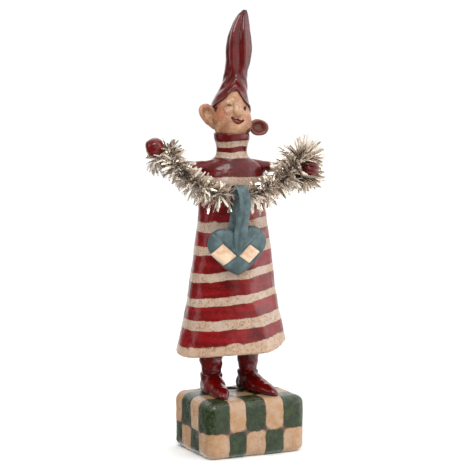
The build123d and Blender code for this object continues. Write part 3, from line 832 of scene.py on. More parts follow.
for side, leg in LEGS.items():
    x, y = leg["ankle"]
    turn = math.radians(leg["toe_turn"])
    toe_way = np.array((math.sin(turn), -math.cos(turn), 0))
    across = np.array((math.cos(turn), math.sin(turn), 0))
    angle = full_turn(64)
    foot_rings = []
    for at in np.linspace(FOOT[0][0], FOOT[-1][0], 60):
        half_width, half_height = profile(at, FOOT)
        middle = np.array((x, y, BLOCK_TOP + half_height * 0.65)) + toe_way * max(at, at * leg["stretch"])
        foot_rings.append(tilted_ring(middle, across, UP, half_width * np.cos(angle),
                                      half_height * np.sin(angle)))
    foot_points, foot_faces = skin(foot_rings)
    r = leg["radius"]
    shaft = [(BLOCK_TOP, r - 0.8), (BLOCK_TOP + 2, r - 0.3), (BLOCK_TOP + 6, r), (BOOT_TOP - 1.5, r + 0.1),
             (BOOT_TOP - 0.4, r + 0.25), (BOOT_TOP + 0.3, r - 0.2), (BOOT_TOP + 0.5, r - 1.4)]
    shaft_points, shaft_faces = skin(round_rings(shaft, x, y))
    count = len(foot_points)
    boot = place(f"boot_{side}_glazed", np.concatenate([foot_points, shaft_points]),
                 foot_faces + [tuple(i + count for i in f) for f in shaft_faces], red_material)
    remesh = boot.modifiers.new("remesh", "REMESH")
    remesh.mode = "VOXEL"
    remesh.voxel_size = 0.42 * MM
    relax = boot.modifiers.new("relax", "SMOOTH")
    relax.factor, relax.iterations = 0.6, 9
    apply_modifiers(boot)
    roughen(boot, (5.5, 0.42), (2.2, 0.17), (1.0, 0.05))
    shape = read_points(boot)
    shape[:, 2] = np.maximum(shape[:, 2], BLOCK_TOP - 0.15)
    write_points(boot, shape)
    # Painted shade darkens the boot's foot where it stands on the block.
    mark(boot, dark=0.75 * ease(shape[:, 2], BLOCK_TOP + 1.1, BLOCK_TOP + 0.1))
    finish_piece(boot, "root", "red_glaze", f"boot_{side}")

    angle = full_turn(120)
    rings = []
    for z in np.linspace(BOOT_TOP - 0.6, LEG_TOP, 74):
        swell, = profile(z, LEG_SWELL)
        wrinkle = 0.16 * np.sin(z * 1.2 + 2.4 * np.sin(angle + 0.8) + 0.4) * ease(z, BOOT_TOP, BOOT_TOP + 3)
        rings.append(level_ring(angle, x, y, z, r + swell + wrinkle, r + swell + wrinkle))
    trouser = place(f"leg_{side}_glazed", *skin(rings), red_material)
    roughen(trouser, (4.5, 0.30), (2.0, 0.16), (0.9, 0.06))
    heights = read_points(trouser)[:, 2]
    # Painted shade darkens the leg towards its top, under the gown, and at its foot, in the boot's top.
    mark(trouser, dark=0.35 * ease(heights, 45, 55) + 0.4 * ease(heights, BOOT_TOP + 0.8, BOOT_TOP - 0.3))
    finish_piece(trouser, "root", "red_glaze", f"leg_{side}")

# ---- gown and roll neck ----

HEM_HEIGHT = 50.2
HEM_RISE = math.tan(math.radians(3.2))
RECESS_TOP, RECESS_STEP = 57.0, 0.7
LIP = 1.5
COLLAR_TOP, COLLAR_LIP = 158.2, 0.8
RING_STEP = 0.45
# Where the paint changes between cream and red, upwards from the hem: height at the figure's
# right side (x -25) and at its left side (x 20). The first and last are past the gown's ends.
STRIPE_RIGHT_X, STRIPE_SPAN_X = -25.0, 45.0
STRIPE_EDGES = ((40.0, 40.0), (53.9, 59.1), (62.1, 65.1), (66.7, 70.4), (73.1, 78.6), (77.2, 82.3),
                (85.2, 90.4), (89.5, 94.3), (98.3, 101.2), (102.5, 106.6), (109.8, 112.6), (115.0, 117.5),
                (133.3, 133.3), (137.5, 137.5), (146.9, 146.6), (149.6, 149.4), (152.0, 152.0),
                (154.9, 154.9), (168.0, 168.0))
# The skirt's folds: height, place round the gown and width. The flat at the figure's left front
# has edges that wander with height.
WANDERING_FOLDS = ((0.95, -80, 9), (-1.0, -52, 17), (-0.35, -112, 20))
FLAT_DRIFT = ((50.0, 15.0), (60.0, 13.0), (84.0, -4.0), (103.0, 16.0), (120.0, 22.0))
STANDING_FOLDS = ((0.5, -10, 12), (-0.35, 178, 16), (0.5, 150, 14), (0.6, 98, 12), (-0.6, 72, 15),
                  (0.5, 40, 12))


def stripe_band(points):
    """Stripe number at each point: whole numbers at the painted edges, cream first."""
    share = np.clip((points[:, 0] - STRIPE_RIGHT_X) / STRIPE_SPAN_X, -0.1, 1.15)
    share = np.where(points[:, 2] > 125, 0.5, share)
    at_right, at_left = np.array(STRIPE_EDGES).T
    edges = at_right * (1 - share[:, None]) + at_left * share[:, None]
    height = points[:, 2] + 0.55 * bumps(points, 9.0, 3) + 0.25 * bumps(points, 3.5, 4)
    band = np.zeros(len(points))
    for i in range(len(STRIPE_EDGES) - 1):
        inside = (height >= edges[:, i]) & (height < edges[:, i + 1])
        band = np.where(inside, i + (height - edges[:, i]) / (edges[:, i + 1] - edges[:, i]), band)
    return band


def gown_ring(nominal, inset=0.0, scale=1.0):
    """One ring of the gown at a nominal height; inset and scale take it inside the outline."""
    angle = full_turn(320)
    x = GOWN_X + profile(nominal, GOWN)[0] * np.cos(angle)
    hem_shift = HEM_RISE * (x - GOWN_X) + ripples(angle, [(1.6, -12, 26)]) + 0.35 * np.sin(3 * angle + 0.6)
    z = nominal + hem_shift * (1 - ease(nominal, 52.0, 78.0))
    drift = np.radians(profile(nominal, FLAT_DRIFT)[0])
    fold = ripples(angle - drift, WANDERING_FOLDS) + ripples(angle, STANDING_FOLDS)
    half_width, half_depth = profile(z, GOWN)
    shift = fold * (1 - ease(z, 95.0, 124.0)) - inset
    return level_ring(angle, GOWN_X, GOWN_Y, z, (half_width + shift) * scale, (half_depth + shift) * scale)


gown_rings = [gown_ring(RECESS_TOP, 2 * LIP, scale) for scale in (0.04, 0.3, 0.6, 0.85, 0.97, 1.0)]
for height in np.arange(RECESS_TOP - RECESS_STEP, HEM_HEIGHT + LIP, -RECESS_STEP):
    gown_rings.append(gown_ring(height, 2 * LIP))
for bend in np.linspace(0, math.pi, 9):
    gown_rings.append(gown_ring(HEM_HEIGHT + LIP - LIP * math.sin(bend), LIP + LIP * math.cos(bend)))
for height in np.arange(HEM_HEIGHT + LIP + RING_STEP, 158.0, RING_STEP):
    gown_rings.append(gown_ring(height))
for bend in np.linspace(0.25, math.pi, 8):
    ring = gown_ring(COLLAR_TOP, COLLAR_LIP - COLLAR_LIP * math.cos(bend))
    gown_rings.append(ring + UP * 0.7 * math.sin(bend))
gown_rings += [gown_ring(157.4, 2.0), gown_ring(157.0, 0.0, 0.4), gown_ring(157.0, 0.0, 0.05)]
gown = place("gown_painted", *skin(gown_rings), gown_material)
points = read_points(gown)
heights = points[:, 2]
# Painted shade on the chest and shoulders, and near-black painted shade in the hollow inside the hem.
mark(gown, band=stripe_band(points), low=0.7 * ease(heights, 60.0, 53.0),
     upper=0.55 * ease(heights, 120.0, 138.0),
     inside=0.85 * (1 - ease(gown_reach(points), 0.82, 0.93)) * (heights < 60))
roughen(gown, (16.0, 0.42), (6.5, 0.26), (2.4, 0.10), (1.1, 0.04))
finish_piece(gown, "root", "gown_paint", "gown")

# ---- sleeves and fists ----

# Each sleeve from the chest to the fist: x, y, z and radius.
ARMS = {"right": ((-6.0, 3.9, 142.4, 4.2), (-13.0, 3.2, 142.3, 3.7), (-20.0, 2.5, 142.4, 2.75),
                  (-27.0, 1.7, 142.8, 2.55), (-33.5, 0.7, 143.3, 2.6), (-38.2, 0.3, 146.3, 2.65),
                  (-41.0, 0.1, 149.4, 2.7), (-43.0, 0.0, 151.8, 2.5)),
        "left": ((1.0, 3.9, 142.0, 4.2), (8.0, 3.6, 141.9, 3.6), (15.0, 3.1, 141.5, 2.7),
                 (22.0, 2.5, 141.0, 2.5), (28.6, 1.6, 140.2, 2.55), (32.4, -0.5, 140.1, 2.6),
                 (36.0, -3.8, 140.3, 2.4))}
# The cream ring on the left sleeve lies between stripe numbers 2 and 3.
LEFT_SLEEVE_BANDS = ((4.0, 1.5), (16.4, 2.0), (19.6, 3.0), (32.0, 3.5))
ALL_RED = 1.5

for side, route in ARMS.items():
    sleeve = place(f"sleeve_{side}_painted", *skin(tube(route, 110, 72)), gown_material)
    band = profile(read_points(sleeve)[:, 0], LEFT_SLEEVE_BANDS)[0] if side == "left" else ALL_RED
    # The sleeves take the chest's painted shade too.
    mark(sleeve, band=band, low=0.0, upper=0.4, inside=0.0)
    roughen(sleeve, (5.0, 0.28), (2.0, 0.12), (0.9, 0.04))
    finish_piece(sleeve, "root", "gown_paint", f"sleeve_{side}")

HANDS = {"right": {"half_length": 4.8, "radius": 4.65, "lean": -20.0, "knuckles": 0.2},
         "left": {"half_length": 4.3, "radius": 3.7, "lean": 20.0, "knuckles": 0.7}}
for side, hand in HANDS.items():
    across, axis = leaning(hand["lean"])
    angle = full_turn(96)
    rings = []
    for t in np.sin(np.linspace(-1.54, 1.54, 72)):
        radius = hand["radius"] * (1 - abs(t) ** 2.4) ** 0.5
        # Curled fingers lie side by side across the front, under a thumb.
        finger = np.cos((t + 0.1) * 2 * math.pi * 1.9) * hand["knuckles"] * (1 - t * t)
        radius = radius + 0.5 * finger * (0.5 + 0.5 * np.sin(angle)) * (radius > 1.0)
        radius = radius + 0.9 * hand["knuckles"] * hump(t, 0.1, 0.35) * ripples(angle, [(1.0, 150, 22)])
        middle = FISTS[side] + axis * (hand["half_length"] * t)
        rings.append(tilted_ring(middle, across, FORWARD, radius * np.cos(angle), radius * np.sin(angle)))
    fist = place(f"fist_{side}_glazed", *skin(rings), red_material)
    roughen(fist, (4.0, 0.30), (1.6, 0.10))
    mark(fist, dark=0.0)
    finish_piece(fist, "root", "red_glaze", f"hand_{side}")

# ---- head, nose and ears ----

# Up the head: height, middle x and y, half width and half depth.
HEAD = ((157.0, -2.3, 3.3, 6.3, 6.0), (159.5, -2.4, 3.0, 8.6, 8.0), (163.0, -2.6, 2.8, 9.7, 9.2),
        (168.0, -3.2, 3.0, 9.2, 9.5), (174.0, -3.4, 3.5, 7.9, 8.9), (180.0, -2.0, 4.3, 6.2, 7.2),
        (184.0, -0.7, 4.8, 4.4, 4.6))
MOUTH_RIGHT, MOUTH_LEFT = np.array((-6.2, 167.2)), np.array((0.7, 165.3))
LEFT_EYE, RIGHT_EYE = (1.7, -4.8, 171.3), (-6.6, -5.0, 172.9)
# How far the face stands out, or sinks where less than nothing, at its cheeks, chin, lips, brows,
# eyes and forehead: height, centre and radius.
FEATURES = ((0.75, (-9.3, -2.6, 168.2), 3.6), (0.75, (2.8, -3.4, 166.4), 3.2),
            (0.9, (-2.6, -5.6, 161.2), 2.6), (0.35, (-2.8, -6.5, 163.2), 1.5),
            (1.05, (-7.3, -4.4, 174.3), 1.5), (0.5, (1.8, -4.3, 172.2), 1.3),
            (-0.3, (-6.7, -5.2, 172.2), 1.1), (-0.35, (1.8, -4.8, 170.0), 1.2), (-0.45, LEFT_EYE, 1.0),
            (0.55, (-3.6, -5.6, 175.2), 2.4), (-0.35, (-2.9, -6.4, 166.0), 2.2),
            (0.35, (-5.2, -4.0, 177.0), 3.0))
BRIM_FRONT, BRIM_BACK = (-3.6, 180.4), (13.6, 161.0)
NO_MOUTH = -1.0

angle = full_turn(240)
head_rings = []
for z in np.linspace(HEAD[0][0], HEAD[-1][0], 150):
    x, y, half_width, half_depth = profile(z, HEAD)
    head_rings.append(level_ring(angle, x, y, z, half_width, half_depth))
face, head_faces = skin(head_rings)
# The mouth mask: how far inside the lips' outline each point is, less than nothing outside.
mouth_way = unit(MOUTH_LEFT - MOUTH_RIGHT)
from_corner = face[:, (0, 2)] - MOUTH_RIGHT
along = from_corner @ mouth_way / np.linalg.norm(MOUTH_LEFT - MOUTH_RIGHT)
down = -(from_corner @ np.array((-mouth_way[1], mouth_way[0])))
arch = np.sin(np.pi * np.clip(along, 0, 1))
mouth = np.minimum(down - 0.35 * arch ** 2 + 0.25 * np.sin(along * 15), 2.3 * arch ** 0.8 - down)
mouth = np.where((along > 0) & (along < 1) & (face[:, 1] < 0), mouth, NO_MOUTH)
outward = face - np.array((-2.4, 3.4, 168.0))
outward[:, 2] *= 0.3
outward /= np.linalg.norm(outward, axis=1)[:, None]
push = spots(face, *FEATURES) - 0.75 * ease(mouth, -0.2, 0.6)
head = place("head_painted", face + outward * push[:, None], head_faces, skin_material)
# The right eye is a narrow worn crease under its lid, and the left one is a dark spot.
dark = ease(near(face, LEFT_EYE, 1.35) + 0.22 * bumps(face, 0.9, 6), 0.30, 0.6)
crease = (face - np.array(RIGHT_EYE)) * np.array((0.75, 0.75, 1.9))
dark = dark + 0.7 * ease(near(crease, (0, 0, 0), 1.15), 0.3, 0.7)
# Painted shade lies beside the right ear, under the left ear, round the neck and under the brim.
dark += 0.9 * ease(near(face, (-11.6, 1.0, 170.9), 1.7), 0.3, 0.7)
dark += 0.9 * ease(near(face, (4.0, -2.6, 159.8), 2.4), 0.3, 0.8)
dark += 0.4 * ease(face[:, 2], 160.0, 158.6)
brim_height = np.interp(face[:, 1], (-6.5, BRIM_FRONT[0], BRIM_BACK[0]), (183.5, BRIM_FRONT[1], BRIM_BACK[1]))
dark += 0.55 * ease(face[:, 2] - brim_height, -1.6, -0.2)
blush = spots(face, (0.75, (-10.4, -2.6, 168.4), 3.4), (0.45, (3.4, -3.4, 166.0), 3.0),
              (0.25, (-4.0, -6.0, 178.0), 2.5))
# Painted highlights on the brow over the right eye and on the chin, and a paler nose bridge that is partly a
# painted highlight.
bright = spots(face, (0.7, (-7.2, -4.5, 174.8), 1.5), (0.8, (-3.2, -6.4, 171.5), 3.0),
               (0.5, (-2.4, -5.8, 162.0), 3.0))
# The red-brown stain on the jaw by the left ear is partly painted shade, like that ear's.
mark(head, mouth=mouth, dark=np.clip(dark, 0, 1), blush=np.clip(blush, 0, 1), bright=bright,
     stain=0.45 * near(face, (6.2, -0.5, 161.5), 3.2))
roughen(head, (4.5, 0.26), (1.8, 0.12), (0.8, 0.04))
finish_piece(head, "root", "skin_paint", "head")

# Down the nose: x, y, z and radius.
NOSE = ((-4.0, -4.4, 176.3, 0.6), (-3.6, -5.5, 174.0, 1.4), (-3.2, -6.4, 171.8, 1.9),
        (-2.9, -6.9, 170.0, 2.15), (-2.8, -6.6, 168.6, 1.9), (-2.8, -5.7, 167.9, 1.0))
NOSTRILS = ((-4.6, -6.9, 168.9), (-1.1, -6.6, 168.7))
nose = place("nose_painted", *skin(tube(NOSE, 60, 64)), skin_material)
points = read_points(nose)
for nostril in NOSTRILS:
    swell = 0.125 * near(points, nostril, 1.1)
    points += (points - np.array((-2.85, -5.0, 169.0))) * swell[:, None]
write_points(nose, points)
# The front of the nose is paler, partly a painted highlight, and painted shade darkens its underside.
mark(nose, mouth=NO_MOUTH, stain=0.0, blush=0.25 * near(points, (-2.9, -8.8, 169.2), 1.6),
     bright=0.65 * near(points, (-3.2, -8.0, 171.0), 3.0),
     dark=0.55 * ease(points[:, 2], 168.0, 167.3) * ease(points[:, 1], -7.6, -6.2))
roughen(nose, (2.0, 0.16), (0.9, 0.06))
finish_piece(nose, "root", "skin_paint", "nose")

EARS = {"right": {"centre": (-14.6, 3.4, 167.0), "half_height": 7.1, "half_width": 3.7, "lean": -29.0,
                  "egg": 0.34, "cup": 0.05},
        "left": {"centre": (11.2, 3.4, 161.2), "half_height": 4.2, "half_width": 5.1, "lean": 12.0,
                 "egg": 0.0, "cup": 0.03}}
# The ear's bowl, from its middle to its rim: share of the way out, and how far forward.
EAR_BOWL = ((0, -0.55), (0.4, -0.35), (0.78, 1.25), (0.93, 0.95), (1.0, 0.0))
EAR_BACK_DEPTH = 1.7

for side, ear in EARS.items():
    across, up = leaning(ear["lean"])
    angle = full_turn(120)
    rings, shares = [], []
    # From the middle of the bowl out to the rim at 1, and back to the middle of the ear's back.
    for t in np.linspace(0.03, 1.97, 54):
        share = t if t <= 1 else 2 - t
        depth = profile(share, EAR_BOWL)[0] if t <= 1 else -EAR_BACK_DEPTH * math.sqrt(1 - share ** 2)
        wide_by = ear["half_width"] * share * np.cos(angle) * (1 + ear["egg"] * np.sin(angle))
        high_by = ear["half_height"] * share * np.sin(angle)
        ring = tilted_ring(ear["centre"], across, up, wide_by, high_by)
        rings.append(ring + FORWARD * (depth + ear["cup"] * wide_by ** 2)[:, None])
        shares.append(np.full(len(angle), t))
    piece = place(f"ear_{side}_painted", *skin(rings), skin_material)
    share = np.concatenate(shares + [[0.0, 2.0]])
    points = read_points(piece)
    hollow, rim = hump(share, 0.45, 0.28), hump(share, 0.85, 0.16)
    if side == "right":
        # Painted shade darkens the right ear's hollow in patches and its foot beside the face; the hollow is
        # also painted paler.
        mark(piece, mouth=NO_MOUTH, bright=0.25 + 0.4 * hollow, stain=0.3 * hump(share, 0.66, 0.10),
             dark=0.15 * ease(hollow, 0.5, 1.0) * ease(bumps(points, 2.2, 5), -0.2, 0.5)
             + 0.7 * near(points, (-11.4, 1.8, 162.6), 2.0),
             blush=np.clip(0.25 * rim + 0.30 * ease(points[:, 2], 166, 173) + 0.05, 0, 1))
    else:
        # The left ear is stained dark red-brown all over, partly painted shade for its shaded side, with a
        # slightly lighter rim where light catches it; painted shade also darkens its hollow and its foot by
        # the neck.
        mark(piece, mouth=NO_MOUTH, bright=0.0, stain=np.clip(0.92 - 0.12 * rim, 0, 1), blush=0.9,
             dark=0.35 * ease(hollow, 0.4, 1.0) + 0.5 * near(points, (7.0, 0.5, 158.5), 2.0))
    roughen(piece, (3.0, 0.24), (1.3, 0.08))
    finish_piece(piece, "root", "skin_paint", f"ear_{side}")

# ---- hat ----

# Up the hat: height, middle x and y, half width and half depth.
HAT = ((157.5, -3.0, 5.4, 8.4, 8.2), (163.0, -3.0, 4.4, 10.6, 10.2), (168.0, -3.2, 4.0, 10.3, 10.5),
       (173.3, -3.3, 4.1, 9.2, 10.0), (177.0, -2.6, 4.5, 7.95, 9.1), (181.0, -1.3, 4.9, 6.7, 8.1),
       (185.0, -0.5, 5.1, 6.0, 7.2), (189.0, 0.0, 5.0, 5.7, 6.4), (194.0, 0.9, 4.6, 6.1, 6.3),
       (199.5, 1.1, 4.2, 6.5, 6.5), (205.5, 1.4, 4.0, 5.9, 6.0), (211.0, 2.0, 3.8, 4.5, 4.6),
       (217.0, 3.2, 3.7, 2.5, 2.6), (219.3, 4.2, 3.7, 0.8, 0.8))
BRIM_SLOPE = (BRIM_BACK[1] - BRIM_FRONT[1]) / (BRIM_BACK[0] - BRIM_FRONT[0])
HAT_BAND_TOP = 187.0
# The brim peaks over the forehead and dips at the temples: place round the hat, and height.
BRIM_DIPS = ((-180, -1.5), (-143, -2.7), (-128, -2.4), (-114, -0.4), (-105, 0.4), (-97, 0.2), (-86, -0.9),
             (-72, -2.8), (-60, -4.2), (-42, -5.0), (-10, -4.0), (40, -2.0), (90, 0.0), (180, -1.5))
# The brim's underside, from inside the hat out to the edge: height above the edge, and inset.
BRIM_ROLL = ((3.5, 2.6), (1.6, 1.9), (0.55, 1.35), (0.12, 0.95), (-0.1, 0.5), (0.05, 0.12))
# Flutes above the band: height, place round the hat and width.
FLUTES = ((1.05, -132, 12), (-1.10, -97, 13), (0.35, -72, 14), (-0.20, -45, 14), (0.15, -20, 12),
          (-0.30, 25, 16), (0.45, 62, 16), (-0.40, 100, 18), (0.30, 138, 16))
hat_angle = full_turn(240)


def hat_ring(z, inset=0.0, fold=0.0):
    """A ring of the hat at a height, or at one height for each angle."""
    x, y, half_width, half_depth = profile(z, HAT)
    return level_ring(hat_angle, x, y, z, half_width + fold - inset, half_depth + fold - inset)


def hat_fold(z):
    """How far the hat's flutes and creases stand out at each angle."""
    flute = ripples(hat_angle + 0.012 * (z - 190.0), FLUTES)
    # The creases fade towards the hat's sides.
    in_front = 0.3 + 0.7 * ease(np.cos(hat_angle + 1.88), 0.1, 0.6)
    slant = 15.0 * np.abs(np.sin((hat_angle + 1.85) / 2)) + 0.9 * np.sin(2 * hat_angle + 0.7)
    creases = 0.38 * in_front * np.sin(z - 184.0 + slant)
    return flute * ease(z, 186.0, 194.0) * (1 - 0.6 * ease(z, 208, 218)) + creases * hump(z, 182.5, 5.0)


# The brim lies on a slope, so its height and how far back it is are found together.
brim_z = np.full(len(hat_angle), 172.0)
for _ in range(30):
    brim_y = hat_ring(brim_z)[:, 1]
    brim_z = 0.5 * brim_z + 0.5 * (BRIM_FRONT[1] + BRIM_SLOPE * (brim_y - BRIM_FRONT[0]))
brim_z = brim_z + profile((np.degrees(hat_angle) + 180) % 360 - 180, BRIM_DIPS)[0]
hat_rings = [hat_ring(brim_z + above, inset) for above, inset in BRIM_ROLL]
for share in np.linspace(0.02, 1.0, 70):
    z = brim_z * (1 - share) + HAT_BAND_TOP * share
    hat_rings.append(hat_ring(z, 0.0, hat_fold(z) * ease(share, 0.0, 0.25) + 0.25 * hump(share, 0.04, 0.04)))
for z in np.linspace(HAT_BAND_TOP + 0.4, HAT[-1][0], 84):
    hat_rings.append(hat_ring(z, 0.0, hat_fold(z)))
hat = place("hat_glazed", *skin(hat_rings), red_material)
roughen(hat, (9.0, 0.22), (2.8, 0.09), (1.0, 0.03))
mark(hat, dark=0.22 + 0.63 * ease(read_points(hat)[:, 2], 217.2, 218.8))
finish_piece(hat, "root", "red_glaze", "hat")

# ---- heart ----

HEART = np.array((-6.1, -15.3, 106.2))
LOBE_OFFSET, LOBE_RADIUS, TIP_DROP, FLANK_BULGE = 7.4, 7.9, 16.4, 1.1
HEART_SIDE, HEART_CROWN = 1.5, 1.45
# The two cream diamonds' corners, as x and z.
DIAMONDS = (((-14.0, 106.2), (-7.2, 100.0), (-13.4, 95.2), (-20.0, 101.1)),
            ((-0.2, 105.5), (5.4, 101.5), (-0.2, 96.1), (-5.6, 100.0)))
heart_across, heart_up = leaning(-3.0)


def heart_outline(count):
    """Half the heart's edge, from its rounded tip up and over a lobe to the cleft."""
    tip_reach = math.hypot(LOBE_OFFSET, TIP_DROP)
    touch = math.atan2(-TIP_DROP, -LOBE_OFFSET) + math.acos(LOBE_RADIUS / tip_reach)
    start = np.array((0.0, -TIP_DROP))
    stop = np.array((LOBE_OFFSET + LOBE_RADIUS * math.cos(touch), LOBE_RADIUS * math.sin(touch)))
    way = unit(stop - start)
    outward = np.array((way[1], -way[0]))
    share = np.linspace(0, 1, count)[:, None]
    flank = start + (stop - start) * share + outward * FLANK_BULGE * np.sin(math.pi * share)
    turn = np.linspace(touch, math.acos(-LOBE_OFFSET / LOBE_RADIUS), count)[1:]
    arc = np.stack([LOBE_OFFSET + LOBE_RADIUS * np.cos(turn), LOBE_RADIUS * np.sin(turn)], axis=1)
    return np.concatenate([flank, arc])


def inside_by(points, corners):
    """How far inside a four-cornered shape each (x, z) point is; less than nothing outside."""
    far = np.full(len(points), 99.0)
    corners = np.array(corners)
    for here, after in zip(corners, np.roll(corners, -1, axis=0)):
        way = unit(after - here)
        far = np.minimum(far, (points[:, 0] - here[0]) * way[1] - (points[:, 1] - here[1]) * way[0])
    return far


half_edge = heart_outline(50)
edge = np.concatenate([half_edge, (half_edge * np.array((-1, 1)))[::-1][1:-1]])
for _ in range(9):
    edge = 0.5 * edge + 0.25 * (np.roll(edge, 1, axis=0) + np.roll(edge, -1, axis=0))
heart_middle = np.array((0.0, -1.5))
rings = []
# From the middle of the front out to the edge at 1, where the rings lie closest, and back to
# the middle of the back.
spacing = [np.linspace(0.02, 0.86, 34), np.linspace(0.88, 1.12, 13), np.linspace(1.14, 1.98, 34)]
for t in np.concatenate(spacing):
    share = t if t <= 1 else 2 - t
    depth = HEART_SIDE * (1 - share ** 9) ** 0.5 + HEART_CROWN * (1 - share ** 2.6)
    flat = heart_middle + (edge - heart_middle) * share
    middle = HEART + FORWARD * (depth if t <= 1 else -depth)
    rings.append(tilted_ring(middle, heart_across, heart_up, flat[:, 0], flat[:, 1]))
heart = place("heart_painted", *skin(rings), heart_material)
points = read_points(heart)
plan = points[:, (0, 2)]
diamond = np.maximum(*[np.maximum(inside_by(plan, c), inside_by(plan, c[::-1])) for c in DIAMONDS])
# Each woven square swells a little and dips at its edges.
raised = 0.28 * ease(diamond, 0.0, 1.6) - 0.22 * hump(diamond, 0.0, 0.55)
gap = plan - np.array((-6.4, 99.9))
middle_square = np.minimum(gap[:, 1] - np.abs(gap[:, 0]) * 0.95, 12.0)
square_edge = gap[:, 1] > 1
raised += 0.35 * ease(middle_square, 0.0, 2.5) - 0.25 * hump(middle_square, 0.0, 0.7) * square_edge
from_middle = points[:, 1] - HEART[1]
points[:, 1] += raised * np.sign(from_middle) * ease(np.abs(from_middle), 0.3, 1.6)
write_points(heart, points)
# Painted shade towards the tip, along the rim between front and back, and in the grooves round the squares.
tip_shade = 0.35 * ease(plan[:, 1], 97.0, 92.0) + 0.3 * hump(np.abs(points[:, 1] - HEART[1]), 0.9, 0.9)
fold = 0.5 * hump(diamond, -0.25, 0.35) + 0.5 * hump(middle_square, 0.0, 0.5) * square_edge
mark(heart, diamond=diamond, fold=fold + tip_shade)
roughen(heart, (4.5, 0.18), (1.8, 0.07))
finish_piece(heart, "heart", "heart_paint", "heart_body")

# ---- strap ----

# From behind the heart up over the garland and down the heart's front: x, y, z, width, thickness.
STRAP = ((-7.0, -13.8, 104.5, 5.0, 1.4), (-7.0, -12.8, 110.0, 5.2, 1.4), (-6.8, -12.2, 115.4, 4.6, 1.4),
         (-5.9, -11.3, 120.4, 4.0, 1.4), (-5.1, -10.7, 124.9, 3.8, 1.3), (-4.7, -10.8, 129.1, 4.2, 1.3),
         (-4.6, -12.2, 132.7, 5.2, 1.3), (-4.9, -15.0, 134.0, 5.8, 1.3), (-4.4, -17.8, 132.9, 5.9, 1.3),
         (-3.6, -19.3, 129.6, 5.9, 1.4), (-3.3, -19.5, 125.2, 6.0, 1.5), (-3.9, -19.2, 120.2, 6.1, 1.5),
         (-4.8, -19.0, 115.2, 6.4, 1.5), (-5.4, -19.0, 110.6, 6.9, 1.6), (-5.8, -19.0, 106.5, 6.4, 1.5),
         (-6.1, -18.8, 102.5, 3.4, 1.2), (-6.3, -17.8, 100.2, 0.8, 0.6))
NO_DIAMOND = -5.0

values, far_along = follow(STRAP, 190)
line = values[:, :3]
for _ in range(6):
    line[1:-1] = 0.5 * line[1:-1] + 0.25 * (line[:-2] + line[2:])
angle = full_turn(56)
flat = np.sign(np.cos(angle)) * np.abs(np.cos(angle)) ** 0.8
high = np.sign(np.sin(angle)) * np.abs(np.sin(angle)) ** 0.8
rings, folds = [], []
for (*middle, width, thickness), direction, at in zip(values, np.gradient(line, axis=0), far_along):
    direction = unit(direction)
    across = unit(np.array((1.0, 0, 0)) - direction * direction[0])
    out = np.cross(across, direction)
    # The strap is pinched lengthwise, with one long crease on the figure's right of its middle.
    crease_at = -0.25 + 0.15 * math.sin(at * 0.16)
    depth = thickness / 2 * high - 0.35 * hump(flat, crease_at, 0.22) * np.sign(high) - 0.35 * flat ** 2
    rings.append(tilted_ring(middle, across, out, width / 2 * flat, depth))
    # Painted shade darkens the crease.
    folds.append(0.5 * hump(flat, crease_at, 0.16))
strap = place("strap_loop_painted", *skin(rings), heart_material)
mark(strap, diamond=NO_DIAMOND, fold=np.concatenate(folds + [[0, 0]]))
roughen(strap, (3.5, 0.22), (1.4, 0.07))
finish_piece(strap, "heart", "strap_cloth", "heart_strap")

# ---- inner pieces that stay as the CAD has them ----

INNER_PIECES = [(name, steel_material, "steel_wire")
                for name in ("leg_pin_right", "leg_pin_left", "arm_wire_right", "arm_wire_left")]
for name, material, slot in INNER_PIECES + [("neck_dowel", wood_material, "dowel_wood")]:
    nodes[name].data.materials.clear()
    nodes[name].data.materials.append(material)

# ---- floor and light ----

floor_paint = Paint("floor", Roughness=0.9, Specular_IOR_Level=0.1)
floor_paint.colour(floor_paint.mix(floor_paint.noise(40.0, 2), FLOOR_GREY, FLOOR_PALE))
FLOOR_REACH = 60000.0
corners = [(x * FLOOR_REACH, y * FLOOR_REACH, 0.0) for x, y in ((-1, -1), (1, -1), (1, 1), (-1, 1))]
floor = place("floor", corners, [(0, 1, 2, 3)], floor_paint.material)
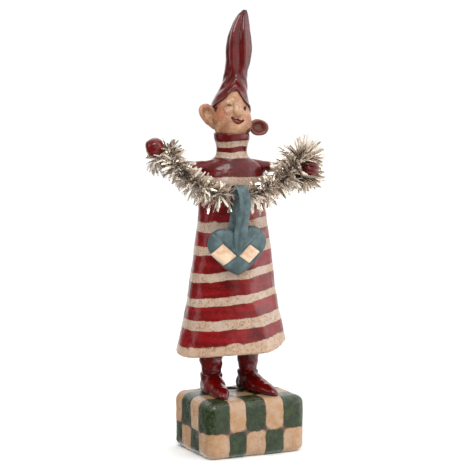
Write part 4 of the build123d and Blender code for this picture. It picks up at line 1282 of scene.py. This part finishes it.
# The glazes mirror the dark studio behind the camera, and not the floor.
floor.visible_glossy = False


def soft_light(name, stand, width, height, power):
    """A panel that faces the figure's middle. Places and sizes are in metres, power in watts."""
    lamp = bpy.data.lights.new(name, "AREA")
    lamp.shape = "RECTANGLE"
    lamp.size, lamp.size_y = width, height
    lamp.energy = power
    obj = add_object(name, lamp)
    obj.location = stand
    obj.rotation_mode = "QUATERNION"
    obj.rotation_quaternion = (Vector((0, 0, 0.11)) - Vector(stand)).to_track_quat("-Z", "Y")


soft_light("panel_left", (-0.80, 0.05, 0.34), 0.35, 0.65, 0.9)
soft_light("panel_right", (0.80, -0.22, 0.26), 0.60, 0.70, 1.8)
soft_light("panel_front_top", (-0.40, -0.75, 0.95), 0.60, 0.45, 7.2)

# The studio is white behind and above the figure, and dark from behind the camera round to the
# figure's right. The world's strength is the sum of two ramps, each with a direction, where the
# ramp starts and ends, and its levels there.
SIDE_RAMP = ((-0.985, -0.17, 0.0), (0.0, 0.45, 1.1, 0.10))
UP_RAMP = ((0.0, 0.0, 1.0), (0.0, 1.0, 0.0, 0.53))
world = bpy.data.worlds.new("studio")
bpy.context.scene.world = world
world.use_nodes = True
tree = world.node_tree
background = tree.nodes["Background"]
background.inputs["Color"].default_value = (1.0, 0.995, 0.985, 1.0)
direction = tree.nodes.new("ShaderNodeTexCoord")
total = tree.nodes.new("ShaderNodeMath")
total.operation = "ADD"
for number, (toward, span) in enumerate((SIDE_RAMP, UP_RAMP)):
    facing = tree.nodes.new("ShaderNodeVectorMath")
    facing.operation = "DOT_PRODUCT"
    facing.inputs[1].default_value = toward
    tree.links.new(direction.outputs["Generated"], facing.inputs[0])
    level = tree.nodes.new("ShaderNodeMapRange")
    for socket, value in zip(list(level.inputs)[1:5], span):
        socket.default_value = value
    tree.links.new(facing.outputs["Value"], level.inputs[0])
    tree.links.new(level.outputs["Result"], total.inputs[number])
tree.links.new(total.outputs["Value"], background.inputs["Strength"])
bpy.context.scene.view_settings.view_transform = "Standard"
